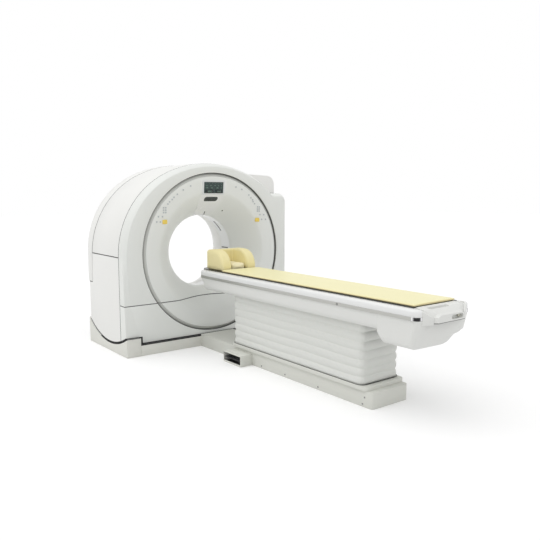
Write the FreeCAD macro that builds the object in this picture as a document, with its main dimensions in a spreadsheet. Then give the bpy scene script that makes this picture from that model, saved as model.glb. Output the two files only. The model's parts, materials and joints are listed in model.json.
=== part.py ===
import FreeCAD, Part
import Sketcher
import math
import os

# A computed-tomography scanner: a gantry that tilts about a level axis through
# its bore, and a patient table that lifts and slides. Millimetres, +Z up.
# The frame stands on the floor under the point where the bore axis (along Y)
# meets the tilt axis (along X). The table stands in front, towards -Y.

doc = FreeCAD.newDocument("ct_scanner")

# ---------------------------------------------------------------- dimensions

DIMENSIONS = {
    # gantry, overall
    "iso_height": 944,          # floor to the bore axis
    "bore_radius": 375,
    "front_reach": 370,         # bore centre to the front face
    "rear_reach": 500,          # bore centre to the rear face
    "half_width": 1000,
    "arch_rise": 900,           # bore axis to the top of the arch
    "arch_side_radius": 870,
    "cover_wall": 8,
    "tilt_limit": 25,
    # front face
    "right_half_width": 955,
    "rim_depth": 105,           # front face back to the side seam
    "crease_inset": 36,
    "rim_lip": 24,
    "seam_gap": 6,
    "front_seam_height": 485,
    "shoulder_height": 1545,
    "shoulder_radius": 90,
    "shoulder_blend": 30,
    "ring_outer": 805,
    "ring_depth": 35,
    "trim_outer": 797,
    "trim_inner": 770,
    "trim_rise": 25,
    "dish_radius": 768,
    "funnel_radius": 612,
    "funnel_drop": 14,
    "funnel_curve": 800,
    "throat_reach": 80,         # half length of the scan window
    "foot_edge_height": 114,    # lower edge of the front cover
    "foot_half_width": 855,
    "corner_flare": 15,
    "crease_low_x": 848,
    "crease_mid_x": 932,
    # plinth and the arc that the tilting covers clear
    "cover_arc": 848,
    "plinth_arc": 862,
    "plinth_reach": 400,        # bore centre to the plinth front
    "strip_height": 104,
    "strip_wall": 14,
    "floor_plate": 12,
    "stand_thickness": 40,
    "stand_inner_x": 905,       # left stand; the right one stands further in
    "right_stand_inset": 55,
    "trunnion_radius": 45,
    "bearing_radius": 85,
    "shaft_gap": 0.3,
    "anchor_hole_radius": 9,
    "anchor_span_x": 1700,
    "anchor_span_y": 720,
    # side covers
    "side_seam_height": 940,
    "top_seam_x": 120,
    "rear_step_height": 640,
    "rear_seam_top": 317,       # rear seam, at the height of the arch
    "rear_seam_low": 404,       # rear seam, at the step
    "rear_corner": 30,
    "rear_foot_height": 200,
    "rear_mouth_radius": 540,
    "rear_funnel_curve": 600,
    "block_front": 70,          # upper right block stands back by this
    "block_left": 430,
    "block_top": 1762,
    "block_drop": 20,
    "block_radius": 100,
    # panels and keys on the dish
    "panel_top_radius": 731,
    "panel_rise": 2.5,
    "display_left": -134,
    "display_right": 128,
    "display_low": 1527,
    "display_high": 1671,
    "display_border": 16,
    "display_rise": 9,
    "key_radius": 9,
    "key_rise": 2,
    "start_key_width": 50,
    "start_key_height": 40,
    "start_key_gap": 0.4,
    "start_key_rise": 6,
    "start_key_travel": 3,
    # tilting frame
    "frame_plate_front": 230,
    "frame_plate_rear": 270,
    "frame_plate_radius": 800,
    "frame_plate_bore": 520,
    "side_plate_inner": 850,
    "side_plate_outer": 885,
    "arm_half_height": 120,
    "rest_gap": 0.3,
    # rotating part
    "drum_radius": 735,
    "drum_rim": 18,
    "drum_inner": 400,
    "drum_front": -240,
    "drum_plate_front": 140,
    "drum_plate_rear": 168,
    "hub_inner": 470,
    "hub_outer": 540,
    "hub_rear": 222,
    "sleeve_outer": 510,
    "slip_ring_front": 290,
    "slip_ring_rear": 330,
    "slip_ring_radius": 640,
    "race_radius": 600,
    "tube_centre": 610,
    "tube_radius": 80,
    "tube_half_length": 130,
    "detector_radius": 560,
    "detector_thickness": 70,
    "detector_half_depth": 60,
    "detector_half_angle": 28,
    # table
    "table_front": 400,         # front end of the base channel
    "table_foot": 2740,         # foot end of the base channel
    "base_half_width": 195,
    "base_height": 123,
    "rim_half_width": 212,
    "rim_height": 155,
    "rim_foot": 2690,
    "rim_front": 980,
    "bellows_front": 992,
    "bellows_foot": 2640,
    "bellows_half_width": 206,
    "bellows_top": 611.7,
    "bellows_depth": 16,
    "bellows_corner": 46,
    "pleat_count": 7,
    "body_half_width": 275,
    "body_front": 560,
    "body_cap": 600,
    "body_foot": 3184,          # foot face at the rails; it leans in below
    "body_foot_low": 3130,
    "body_low": 612,
    "body_corner": 45,
    "foot_corner": 36,
    "box_low": 530,
    "box_front": 2840,
    "rail_low": 727,
    "rail_split": 752,
    "rail_high": 800,
    "rail_proud": 9,
    "rail_inner": 235,
    "rail_foot": 3135,          # centre of the rounded rail end
    "cradle_half_width": 228,
    "cradle_front": 432,
    "cradle_foot": 3112,
    "cradle_low": 785,
    "cradle_high": 804,
    "mattress_front": 828,
    "mattress_half_width": 221,
    "mattress_thickness": 19,
    "headrest_front": 510,
    "headrest_length": 311,
    "headrest_half_width": 195,
    "headrest_height": 194,
    "headrest_round": 161,
    "head_hollow": 92,          # half width of the head recess
    "head_wall": 50,
    "head_pad_half_width": 78,
    "head_pad_thickness": 64,
    "handle_front": 3112,
    "handle_knee": 3175,
    "handle_bend": 3216,
    "handle_foot": 3240,
    "handle_low": 704,
    "cap_gap": 2.5,
    "recess_back": 3208,
    "knob_radius": 10,
    "knob_travel": 4,
    "column_radius": 62,
    "column_wall": 8,
    "column_front_y": 1400,
    "column_rear_y": 2250,
    "column_gap": 0.6,
    "outer_column_top": 338,
    "mid_column_low": 187.6,
    "mid_column_top": 510.6,
    "inner_column_low": 362,
    "frame_low": 690,
    "frame_thickness": 12,
    "lift_gap": 0.3,
    # pedal box
    "pedal_box_half_length": 138,
    "pedal_box_y": 1150,
    "pedal_box_depth": 135,
    "pedal_box_height": 100,
    "pedal_box_wall": 6,
    "pedal_pin_radius": 4,
    "pedal_pin_height": 60,
    "pedal_pin_inset": 32,
}

sheet = doc.addObject("Spreadsheet::Sheet", "dims")
for row, (alias, number) in enumerate(DIMENSIONS.items(), start=1):
    sheet.set(f"A{row}", alias)
    sheet.set(f"B{row}", str(number))
    sheet.setAlias(f"B{row}", alias)
doc.recompute()


class Size:
    """A number together with the sheet expression that it comes from."""

    def __init__(self, value, text):
        self.value = float(value)
        self.text = text

    def _joined(self, other, sign, value, turned=False):
        other_text = other.text if isinstance(other, Size) else repr(other)
        left, right = (other_text, self.text) if turned else (self.text, other_text)
        return Size(value, f"({left} {sign} {right})")

    def __add__(self, other):
        return self._joined(other, "+", self.value + amount(other))

    def __radd__(self, other):
        return self._joined(other, "+", amount(other) + self.value, turned=True)

    def __sub__(self, other):
        return self._joined(other, "-", self.value - amount(other))

    def __rsub__(self, other):
        return self._joined(other, "-", amount(other) - self.value, turned=True)

    def __mul__(self, other):
        return self._joined(other, "*", self.value * amount(other))

    def __rmul__(self, other):
        return self._joined(other, "*", amount(other) * self.value, turned=True)

    def __truediv__(self, other):
        return self._joined(other, "/", self.value / amount(other))

    def __neg__(self):
        return Size(-self.value, f"(0 - {self.text})")


def amount(size):
    """The plain number of a Size or of a number."""
    return size.value if isinstance(size, Size) else float(size)


def dim(alias):
    """One driving dimension of the sheet."""
    return Size(DIMENSIONS[alias], f"dims.{alias}")


def square_root(size):
    return Size(math.sqrt(amount(size)), f"sqrt({size.text})")


def side_of(long_side, short_side):
    """The third side of a right-angled triangle, from its longest one."""
    return square_root(long_side * long_side - short_side * short_side)


def sine(degrees):
    if isinstance(degrees, Size):
        return Size(math.sin(math.radians(degrees.value)), f"sin({degrees.text} * 1 deg)")
    return math.sin(math.radians(degrees))


def cosine(degrees):
    if isinstance(degrees, Size):
        return Size(math.cos(math.radians(degrees.value)), f"cos({degrees.text} * 1 deg)")
    return math.cos(math.radians(degrees))


def bind(target, path, size):
    """Tie one property to the sheet, where the size depends on it."""
    if isinstance(size, Size):
        target.setExpression(path, size.text)


# ------------------------------------------------------------------ sketches

PLANES = {"XY": "XY_Plane", "XZ": "XZ_Plane", "YZ": "YZ_Plane"}
LEFT, RIGHT = 1, -1            # which way an arc turns on its way round


def flip_loop(loop):
    """The same loop mirrored left to right, walked the other way round."""
    flipped = []
    count = len(loop)
    for index in range(count - 1, -1, -1):
        arrival = loop[(index + 1) % count]
        flipped.append((-loop[index][0], loop[index][1]) + tuple(arrival[2:]))
    return flipped


def flip_path(path):
    """An open path mirrored left to right and walked backwards."""
    flipped = []
    for index in range(len(path) - 1, -1, -1):
        turn = tuple(path[index + 1][2:]) if index + 1 < len(path) else ()
        flipped.append((-path[index][0], path[index][1]) + turn)
    return flipped


def box_loop(x_low, x_high, y_low, y_high):
    return [(x_low, y_low), (x_high, y_low), (x_high, y_high), (x_low, y_high)]


def round_box_loop(x_low, x_high, y_low, y_high, radius):
    """A rectangle with its four corners rounded."""
    return [
        (x_low + radius, y_low),
        (x_high - radius, y_low),
        (x_high, y_low + radius, radius, LEFT),
        (x_high, y_high - radius),
        (x_high - radius, y_high, radius, LEFT),
        (x_low + radius, y_high),
        (x_low, y_high - radius, radius, LEFT),
        (x_low, y_low + radius),
        (x_low + radius, y_low, radius, LEFT),
    ][1:]


def arc_centre(start, end, radius, turn):
    """Centre of the shorter arc from start to end."""
    chord_x, chord_y = end[0] - start[0], end[1] - start[1]
    half = math.hypot(chord_x, chord_y) / 2
    rise = math.sqrt(max(radius * radius - half * half, 0.0))
    across_x, across_y = -chord_y / (2 * half), chord_x / (2 * half)
    return (
        (start[0] + end[0]) / 2 + turn * rise * across_x,
        (start[1] + end[1]) / 2 + turn * rise * across_y,
    )


class Piece:
    """One solid sub-part: a body whose features follow the sheet."""

    def __init__(self, name):
        self.body = doc.addObject("PartDesign::Body", name)
        self.body.Label = name
        self.body.AllowCompound = True
        self.planes = {item.Role: item for item in self.body.Origin.OriginFeatures}

    def sketch(self, plane, level):
        """An empty sketch on an origin plane, moved to a level along its axis."""
        drawing = self.body.newObject("Sketcher::SketchObject", self.body.Name + "_sketch")
        drawing.AttachmentSupport = [(self.planes[PLANES[plane]], "")]
        drawing.MapMode = "FlatFace"
        offset = -level if plane == "XZ" else level
        drawing.AttachmentOffset = FreeCAD.Placement(
            FreeCAD.Vector(0, 0, amount(offset)), FreeCAD.Rotation())
        bind(drawing, ".AttachmentOffset.Base.z", offset)
        return drawing

    def pin(self, drawing, kind, geometry, end, size):
        """Hold one end of a sketch edge at a size from the origin."""
        number = drawing.addConstraint(
            Sketcher.Constraint(kind, -1, 1, geometry, end, amount(size)))
        bind(drawing, f"Constraints[{number}]", size)

    def add_circle(self, drawing, centre_x, centre_y, radius):
        centre = FreeCAD.Vector(amount(centre_x), amount(centre_y), 0)
        circle = Part.Circle(centre, FreeCAD.Vector(0, 0, 1), amount(radius))
        geometry = drawing.addGeometry(circle, False)
        self.pin(drawing, "DistanceX", geometry, 3, centre_x)
        self.pin(drawing, "DistanceY", geometry, 3, centre_y)
        number = drawing.addConstraint(Sketcher.Constraint("Radius", geometry, amount(radius)))
        bind(drawing, f"Constraints[{number}]", radius)

    def add_path(self, drawing, points, closed=True):
        """Lines and arcs from point to point. A point is (x, y) where a line
        arrives, or (x, y, radius, turn) where an arc arrives."""
        count = len(points)
        ends = []
        steps = range(count) if closed else range(1, count)
        for index in steps:
            before, after = points[index - 1], points[index]
            start = (amount(before[0]), amount(before[1]))
            end = (amount(after[0]), amount(after[1]))
            if len(after) > 2:
                radius, turn = amount(after[2]), after[3]
                centre = arc_centre(start, end, radius, turn)
                first = math.atan2(start[1] - centre[1], start[0] - centre[0])
                last = math.atan2(end[1] - centre[1], end[0] - centre[0])
                if turn == RIGHT:
                    first, last = last, first
                circle = Part.Circle(
                    FreeCAD.Vector(centre[0], centre[1], 0), FreeCAD.Vector(0, 0, 1), radius)
                geometry = drawing.addGeometry(Part.ArcOfCircle(circle, first, last), False)
                number = drawing.addConstraint(Sketcher.Constraint("Radius", geometry, radius))
                bind(drawing, f"Constraints[{number}]", after[2])
                ends.append((geometry, 1, 2) if turn == LEFT else (geometry, 2, 1))
            else:
                line = Part.LineSegment(FreeCAD.Vector(*start, 0), FreeCAD.Vector(*end, 0))
                geometry = drawing.addGeometry(line, False)
                ends.append((geometry, 1, 2))
            self.pin(drawing, "DistanceX", geometry, ends[-1][2], after[0])
            self.pin(drawing, "DistanceY", geometry, ends[-1][2], after[1])
        for place, (geometry, near, far) in enumerate(ends):
            if place > 0 or closed:
                previous, _, previous_far = ends[place - 1]
                drawing.addConstraint(
                    Sketcher.Constraint("Coincident", previous, previous_far, geometry, near))
            else:
                self.pin(drawing, "DistanceX", geometry, near, points[0][0])
                self.pin(drawing, "DistanceY", geometry, near, points[0][1])

    def drawn(self, plane, level, loops):
        drawing = self.sketch(plane, level)
        for loop in loops:
            if loop[0] == "circle":
                self.add_circle(drawing, *loop[1:])
            else:
                self.add_path(drawing, loop)
        return drawing

    def feature(self, kind, suffix):
        return self.body.newObject("PartDesign::" + kind, f"{self.body.Name}_{suffix}")

    def pad(self, plane, start, end, *loops):
        """Material between two levels."""
        shape = self.feature("Pad", "pad")
        shape.Profile = self.drawn(plane, start, loops)
        shape.Reversed = plane == "XZ"
        shape.Length = amount(end - start)
        bind(shape, "Length", end - start)
        return shape

    def pocket(self, plane, start, end, *loops):
        """A cut between two levels."""
        doc.recompute()
        before = self.body.Shape.Volume
        shape = self.feature("Pocket", "pocket")
        shape.Profile = self.drawn(plane, start, loops)
        shape.Reversed = plane != "XZ"
        shape.Length = amount(end - start)
        bind(shape, "Length", end - start)
        self.must_cut(before)
        return shape

    def turned(self, kind, plane, level, axis, loops, degrees=360.0):
        drawing = self.drawn(plane, level, loops)
        start, end = [FreeCAD.Vector(amount(x), amount(y), 0) for x, y in axis]
        line = drawing.addGeometry(Part.LineSegment(start, end), True)
        for place, point in enumerate(axis, start=1):
            self.pin(drawing, "DistanceX", line, place, point[0])
            self.pin(drawing, "DistanceY", line, place, point[1])
        shape = self.feature(kind, "turned")
        shape.Profile = drawing
        shape.ReferenceAxis = (drawing, ["Axis0"])
        shape.Angle = degrees
        return shape

    def revolve(self, plane, level, axis, *loops):
        return self.turned("Revolution", plane, level, axis, loops)

    def groove(self, plane, level, axis, *loops):
        doc.recompute()
        before = self.body.Shape.Volume
        shape = self.turned("Groove", plane, level, axis, loops)
        self.must_cut(before)
        return shape

    def loft(self, plane, sections):
        """A ruled skin through closed sections, given as (level, loop)."""
        drawings = [self.drawn(plane, level, [loop]) for level, loop in sections]
        shape = self.feature("AdditiveLoft", "loft")
        shape.Profile = drawings[0]
        shape.Sections = drawings[1:]
        shape.Ruled = True
        return shape

    def pipe(self, path_plane, path_level, path, section_plane, section_level, section):
        """A section carried along an open path of lines and tangent arcs."""
        spine = self.sketch(path_plane, path_level)
        self.add_path(spine, path, closed=False)
        profile = self.drawn(section_plane, section_level, [section])
        doc.recompute()
        shape = self.feature("AdditivePipe", "pipe")
        shape.Profile = profile
        shape.Spine = (spine, [f"Edge{n + 1}" for n in range(len(path) - 1)])
        return shape

    def fillet(self, radius, wanted):
        """Round the edges that the test picks."""
        doc.recompute()
        base = self.body.Tip
        names = [f"Edge{number}" for number, edge in enumerate(base.Shape.Edges, start=1)
                 if wanted(edge)]
        if not names:
            raise RuntimeError(f"{self.body.Label}: no edge to round")
        shape = self.feature("Fillet", "fillet")
        shape.Base = (base, names)
        shape.Radius = amount(radius)
        bind(shape, "Radius", radius)
        return shape

    def mirror(self, features):
        """The listed features again on the other side of the X = 0 plane."""
        shape = self.feature("Mirrored", "mirror")
        shape.Originals = features
        shape.MirrorPlane = (self.planes["YZ_Plane"], [""])
        self.body.Tip = shape
        return shape

    def must_cut(self, before):
        doc.recompute()
        if self.body.Shape.Volume > before - 1e-3:
            raise RuntimeError(f"{self.body.Label}: a cut removed nothing")


def along(edge, axis, tolerance=0.5):
    """True where an edge runs along one axis."""
    box = edge.BoundBox
    spans = {"x": box.XLength, "y": box.YLength, "z": box.ZLength}
    rest = [span for name, span in spans.items() if name != axis]
    return spans[axis] > tolerance and max(rest) < tolerance


# -------------------------------------------------------- shared gantry sizes

iso = dim("iso_height")
wall = dim("cover_wall")
half_width = dim("half_width")
front = -dim("front_reach")
rear = dim("rear_reach")
half_gap = dim("seam_gap") / 2
side_seam = front + dim("rim_depth")
bore_axis = ((0, iso), (100, iso))

# The arch has three arcs: one round each haunch and a flatter one over the top.
haunch_x = half_width - dim("arch_side_radius")
haunch_to_top = dim("arch_rise") - dim("arch_side_radius")
crown_drop = (haunch_x * haunch_x - haunch_to_top * haunch_to_top) / (haunch_to_top * 2)
crown_radius = dim("arch_rise") + crown_drop
centre_distance = crown_radius - dim("arch_side_radius")
crown_z = iso - crown_drop


def arch_joint(inset):
    """Where the haunch arc meets the crown arc, on the right-hand side."""
    radius = dim("arch_side_radius") - inset
    return (
        haunch_x + radius * haunch_x / centre_distance,
        iso + radius * crown_drop / centre_distance,
    )


def crown_height(x, inset):
    """Height of the crown arc at a place near the middle."""
    return crown_z + side_of(crown_radius - inset, x)


def shoulder_points(inset):
    """The squared right shoulder, from the arch down its outer edge:
    a hollow blend, a level top and a round corner."""
    blend = dim("shoulder_blend") + inset
    haunch = dim("arch_side_radius") - inset
    level = dim("shoulder_height") - inset
    round_radius = dim("shoulder_radius") - inset
    edge_x = dim("right_half_width") - inset
    reach = dim("arch_side_radius") + dim("shoulder_blend")
    centre_z = dim("shoulder_height") + dim("shoulder_blend")
    centre_x = haunch_x + side_of(reach, centre_z - iso)
    return [
        (haunch_x + (centre_x - haunch_x) * haunch / reach,
         iso + (centre_z - iso) * haunch / reach,
         haunch, RIGHT),
        (centre_x, level, blend, LEFT),
        (edge_x - round_radius, level),
        (edge_x, level - round_radius, round_radius, RIGHT),
    ]


def front_outline(inset, low_z):
    """Outer line of the front cover from its left foot over the top and down
    its squared right side, walked clockwise as seen from the table."""
    joint_x, joint_z = arch_joint(inset)
    return [
        (inset - half_width, low_z),
        (inset - half_width, iso),
        (-joint_x, joint_z, dim("arch_side_radius") - inset, RIGHT),
        (joint_x, joint_z, crown_radius - inset, RIGHT),
        *shoulder_points(inset),
        (dim("right_half_width") - inset, low_z),
    ]


# Profile of the dish, funnel and ring channel, as (Y, height above the bore axis).
def at_ring(depth, radius):
    return (front + depth, iso + radius)


def funnel_profile():
    ring_wall = dim("ring_outer") + wall
    throat = dim("front_reach") - dim("throat_reach")
    return [
        at_ring(0, ring_wall),
        at_ring(0, dim("ring_outer")),
        at_ring(dim("ring_depth"), dim("ring_outer")),
        at_ring(dim("ring_depth"), dim("dish_radius")),
        at_ring(0, dim("dish_radius")),
        at_ring(dim("funnel_drop"), dim("funnel_radius")),
        (*at_ring(throat, dim("bore_radius")), dim("funnel_curve"), LEFT),
        at_ring(throat, dim("bore_radius") + wall),
        (*at_ring(dim("funnel_drop") + wall, dim("funnel_radius") + wall / 2),
         dim("funnel_curve") + wall, RIGHT),
        at_ring(wall, dim("dish_radius") - wall),
        at_ring(dim("ring_depth") + wall, dim("dish_radius") - wall),
        at_ring(dim("ring_depth") + wall, ring_wall),
    ]


def is_funnel_crease(edge):
    """The front circle where the dish turns into the funnel."""
    circle = getattr(edge.Curve, "Radius", 0)
    return (abs(circle - amount(dim("funnel_radius"))) < 0.5
            and abs(edge.BoundBox.YMin - amount(front + dim("funnel_drop"))) < 0.5)


def rim_section(crease, corner_y, curved, reach=half_width):
    """Plan section of the cover's rim on the left: side wall, rounding or
    flat facet, and the lip that the front web joins. Crease is its |X|."""
    outer, inner = -reach, wall - reach
    rim = dim("rim_depth")
    inset = reach - crease
    lip_x = dim("rim_lip") - crease
    if curved:
        radius = (inset * inset + rim * rim) / (inset * 2)
        middle = rim / 2
        hollow = side_of(radius, middle)
        bend_x = outer + radius - hollow
        return [
            (outer, side_seam),
            (bend_x, side_seam - middle, radius, LEFT),
            (-crease, front, radius, LEFT),
            (lip_x, front),
            (lip_x, front + wall),
            (wall / 2 - crease, front + wall),
            (bend_x + wall, side_seam - middle, radius - wall, RIGHT),
            (inner, side_seam, radius - wall, RIGHT),
        ]
    return [
        (outer, side_seam),
        (outer, corner_y),
        (-crease, front),
        (lip_x, front),
        (lip_x, front + wall),
        (wall / 2 - crease, front + wall),
        (inner, corner_y + wall),
        (inner, side_seam),
    ]


def slope_seam(height):
    """Y of the slanted rear seam at a height."""
    rise = (height - dim("rear_step_height")) / (
        iso + dim("arch_rise") - dim("rear_step_height"))
    return dim("rear_seam_low") + (dim("rear_seam_top") - dim("rear_seam_low")) * rise


def inset_on(side):
    """How much further in the parts of the right-hand stand are."""
    return dim("right_stand_inset") if side > 0 else Size(0, "0")


def on_side(side, inner, outer):
    """Levels along X between two distances from the middle, on one side."""
    return (-outer, -inner) if side < 0 else (inner, outer)


def sided(side, loop):
    """A loop drawn for the right-hand side, placed on either side."""
    return loop if side > 0 else flip_loop(loop)


def cut_under_arc(piece, side):
    """Trim a leg along the arc in which it swings over the plinth."""
    radius = dim("cover_arc")
    near, far = front - 20, rear + 20
    start, end = on_side(side, dim("foot_half_width"), half_width + 1)
    piece.pocket("YZ", start, end, [
        (near, -50),
        (far, -50),
        (far, iso - side_of(radius, far)),
        (near, iso - side_of(radius, near), radius, RIGHT),
    ])


def cut_behind_seam(piece):
    """Trim the rear edge of a cover along the slanted seam."""
    low, high = iso - 900, iso + 1000
    piece.pocket("YZ", -half_width - 1, half_width + 1, [
        (slope_seam(low) - half_gap, low),
        (rear + 60, low),
        (rear + 60, high),
        (slope_seam(high) - half_gap, high),
    ])


def ring(piece, start, end, outer, inner):
    """A flat ring round the bore axis."""
    return piece.pad("XZ", start, end, ("circle", 0, iso, outer), ("circle", 0, iso, inner))


def octagon(centre_x, centre_y, radius):
    """An eight-sided outline whose corners lie on a circle."""
    return [(centre_x + radius * cosine(angle), centre_y + radius * sine(angle))
            for angle in range(0, 360, 45)]


def tube(piece, start, end, centre_y, outer, inner):
    """An upright tube on the middle line."""
    return piece.pad(
        "XY", start, end, ("circle", 0, centre_y, outer), ("circle", 0, centre_y, inner))


def keep_only(piece, *islands):
    """Cut a piece away, seen from the front, apart from the given outlines."""
    reach = dim("dish_radius") + 20
    piece.pocket("XZ", front - 40, rear, box_loop(-reach, reach, iso - reach, iso + reach),
                 *islands)


def dish_skin(piece, low, high):
    """A thin layer over the dish and funnel, between two heights above them."""
    throat = dim("front_reach") - dim("throat_reach")
    drop, curve = dim("funnel_drop"), dim("funnel_curve")
    funnel, bore = dim("funnel_radius"), dim("bore_radius")
    edge = dim("dish_radius")
    return piece.revolve("YZ", 0, bore_axis, [
        at_ring(-high, edge),
        at_ring(drop - high, funnel),
        (*at_ring(throat - high, bore), curve, LEFT),
        at_ring(throat - low, bore),
        (*at_ring(drop - low, funnel), curve, RIGHT),
        at_ring(-low, edge),
    ])


# ------------------------------------------------------------- gantry covers

RIM_CREASE = half_width - dim("crease_inset")
RIM_CORNER = front + 12
RIM_LIP = dim("crease_inset") + dim("rim_lip")
START_KEYS = {"start_button_left": (-558, 1268), "start_button_right": (548, 1261)}


def start_key_loop(centre, spread):
    half_x = dim("start_key_width") / 2 + spread
    half_z = dim("start_key_height") / 2 + spread
    return round_box_loop(
        centre[0] - half_x, centre[0] + half_x, centre[1] - half_z, centre[1] + half_z,
        8 + spread)


def build_front_upper_cover():
    """Moulded cover: arched rim, flat web, dish and bore funnel in one wall."""
    piece = Piece("front_upper_cover")
    seam = dim("front_seam_height") + half_gap
    outline = front_outline(0, seam)
    piece.pipe("XZ", 0, outline[1:], "XY", iso, rim_section(RIM_CREASE, RIM_CORNER, True))
    piece.loft("XY", [
        (seam, rim_section(dim("crease_mid_x"), front - 2, False)),
        (iso - 120, rim_section(RIM_CREASE, RIM_CORNER, False)),
        (iso, rim_section(RIM_CREASE, RIM_CORNER, True)),
    ])
    inner = front_outline(RIM_LIP - 1, seam)
    inner[0] = (dim("rim_lip") - dim("crease_mid_x") - 1, seam)
    inner.insert(1, (RIM_LIP - 1 - half_width, iso - 120))
    seam_x = side_of(dim("ring_outer"), iso - seam)
    piece.pad("XZ", front, front + wall, [
        *inner,
        (seam_x, seam),
        (0, iso + dim("ring_outer"), dim("ring_outer"), LEFT),
        (-seam_x, seam, dim("ring_outer"), LEFT),
    ])
    piece.revolve("YZ", 0, bore_axis, funnel_profile())
    piece.pocket("XY", -10, seam, box_loop(-half_width, half_width, front - 10, rear))
    piece.fillet(70, is_funnel_crease)
    for centre in START_KEYS.values():
        piece.pocket("XZ", front - 5, front + 40, start_key_loop(centre, dim("start_key_gap")))
    return piece


def build_front_lower_cover():
    """Lower part of the same moulding, with legs that clear the plinth."""
    piece = Piece("front_lower_cover")
    seam = dim("front_seam_height") - half_gap
    low = dim("foot_edge_height")
    middle, foot = dim("crease_mid_x"), dim("crease_low_x")
    lip = dim("rim_lip")
    piece.loft("XY", [
        (low, rim_section(foot, front - dim("corner_flare"), False)),
        (seam, rim_section(middle, front - 2, False)),
    ])
    right = dim("right_half_width")
    right_crease = right - dim("crease_inset")
    piece.pad("XY", low, seam, flip_loop(rim_section(right_crease, RIM_CORNER, True, right)))
    seam_x = side_of(dim("ring_outer"), iso - seam)
    piece.pad("XZ", front, front + wall, [
        (lip - foot - 1, low),
        (lip - middle - 1, seam),
        (-seam_x, seam),
        (seam_x, seam, dim("ring_outer"), LEFT),
        (right_crease - lip + 1, seam),
        (right_crease - lip + 1, low),
    ])
    piece.revolve("YZ", 0, bore_axis, funnel_profile())
    piece.pocket("XY", seam, iso + half_width,
                 box_loop(-half_width, half_width, front - 40, rear))
    for side in (-1, 1):
        cut_under_arc(piece, side)
    piece.fillet(70, is_funnel_crease)
    return piece


def build_ring_trim(name, upper):
    """Bevelled half ring that lies in the channel round the dish."""
    piece = Piece(name)
    piece.revolve("YZ", 0, bore_axis, [
        at_ring(dim("ring_depth"), dim("trim_outer")),
        at_ring(dim("trim_rise"), dim("trim_outer")),
        at_ring(0, dim("trim_inner")),
        at_ring(dim("ring_depth"), dim("trim_inner")),
    ])
    seam = dim("front_seam_height")
    cut = (-10, seam + half_gap) if upper else (seam - half_gap, iso + half_width)
    piece.pocket("XY", *cut, box_loop(-half_width, half_width, front - 10, rear))
    return piece


def is_skin_crease(edge):
    circle = getattr(edge.Curve, "Radius", 0)
    return (abs(circle - amount(dim("funnel_radius"))) < 0.5
            and edge.BoundBox.YMin < amount(front + dim("funnel_drop")) + 0.5)


def build_shield_panel():
    """Thin panel from the display down to the bore, waisted below the display."""
    piece = Piece("shield_panel")
    dish_skin(piece, 0, dim("panel_rise"))
    piece.fillet(70, is_skin_crease)
    top = iso + dim("panel_top_radius")
    edge = [(100, iso + 360), (116, iso + 445), (140, iso + 535), (137, iso + 600),
            (148, iso + 660), (158, top - 8)]
    keep_only(piece, edge + [(150, top, 8, LEFT), (-150, top)]
              + [(-158, top - 8, 8, LEFT)] + [(-x, z) for x, z in edge[-2::-1]])
    return piece


def display_loop(inset, radius):
    return round_box_loop(
        dim("display_left") + inset, dim("display_right") - inset,
        dim("display_low") + inset, dim("display_high") - inset, radius)


def build_display():
    bezel = Piece("display_bezel")
    dish_skin(bezel, dim("panel_rise"), dim("display_rise"))
    keep_only(bezel, display_loop(0, 12))
    border = dim("display_border")
    bezel.pocket("XZ", front - 40, rear, display_loop(border, 5))
    screen = Piece("display")
    dish_skin(screen, dim("panel_rise"), dim("display_rise") - 3)
    keep_only(screen, display_loop(border, 5))


def build_oval_window():
    """Long level window with round ends, below the display."""
    piece = Piece("oval_window")
    dish_skin(piece, dim("panel_rise"), dim("panel_rise") + 1.5)
    run, radius, height = 58, 22, 1484
    keep_only(piece, [
        (run, height - radius),
        (run + radius, height, radius, LEFT),
        (run, height + radius, radius, LEFT),
        (-run, height + radius),
        (-run - radius, height, radius, LEFT),
        (-run, height - radius, radius, LEFT),
    ])
    return piece


LEFT_KEYS = [
    (-270, 1613), (-353, 1574), (-420, 1532), (-457, 1503), (-477, 1482), (-505, 1460),
    (-524, 1439), (-548, 1404), (-572, 1404), (-548, 1381), (-572, 1381), (-548, 1358),
    (-572, 1358), (-628, 1320), (-583, 1319), (-647, 1270), (-607, 1269),
]
RIGHT_KEYS = [
    (270, 1608), (343, 1583), (433, 1525), (461, 1496), (482, 1475), (489, 1455),
    (509, 1434), (548, 1398), (571, 1398), (548, 1376), (571, 1376), (548, 1354),
    (571, 1354), (581, 1316), (629, 1315), (604, 1265), (653, 1264),
]


def build_panel_keys():
    """Small round membrane keys in two arcs beside the display."""
    piece = Piece("panel_keys")
    slope = dim("funnel_drop") / (dim("dish_radius") - dim("funnel_radius"))
    for x, z in LEFT_KEYS + RIGHT_KEYS:
        from_axis = square_root((z - iso) * (z - iso) + x * x)
        seat = front + slope * (dim("dish_radius") - from_axis - dim("key_radius"))
        piece.pad("XZ", seat - dim("key_rise"), seat, octagon(x, z, dim("key_radius")))
    return piece


def build_start_button(name, centre):
    """Key that passes through the dish wall and is held by a flange behind."""
    piece = Piece(name)
    near = front + dim("funnel_drop") - 3 - dim("start_key_rise")
    flange = front + dim("funnel_drop") + wall + 12
    piece.pad("XZ", near, flange, start_key_loop(centre, 0))
    piece.pad("XZ", flange, flange + 3, start_key_loop(centre, 3))
    return piece


def bore_patch(low_angle, high_angle, side):
    """Outline of a thin curved patch on the bore, between two angles over +X."""
    outer, inner = dim("bore_radius") - 0.8, dim("bore_radius") - 2
    return sided(side, [
        (outer * cosine(low_angle), iso + outer * sine(low_angle)),
        (outer * cosine(high_angle), iso + outer * sine(high_angle), outer, LEFT),
        (inner * cosine(high_angle), iso + inner * sine(high_angle)),
        (inner * cosine(low_angle), iso + inner * sine(low_angle), inner, RIGHT),
    ])


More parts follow.
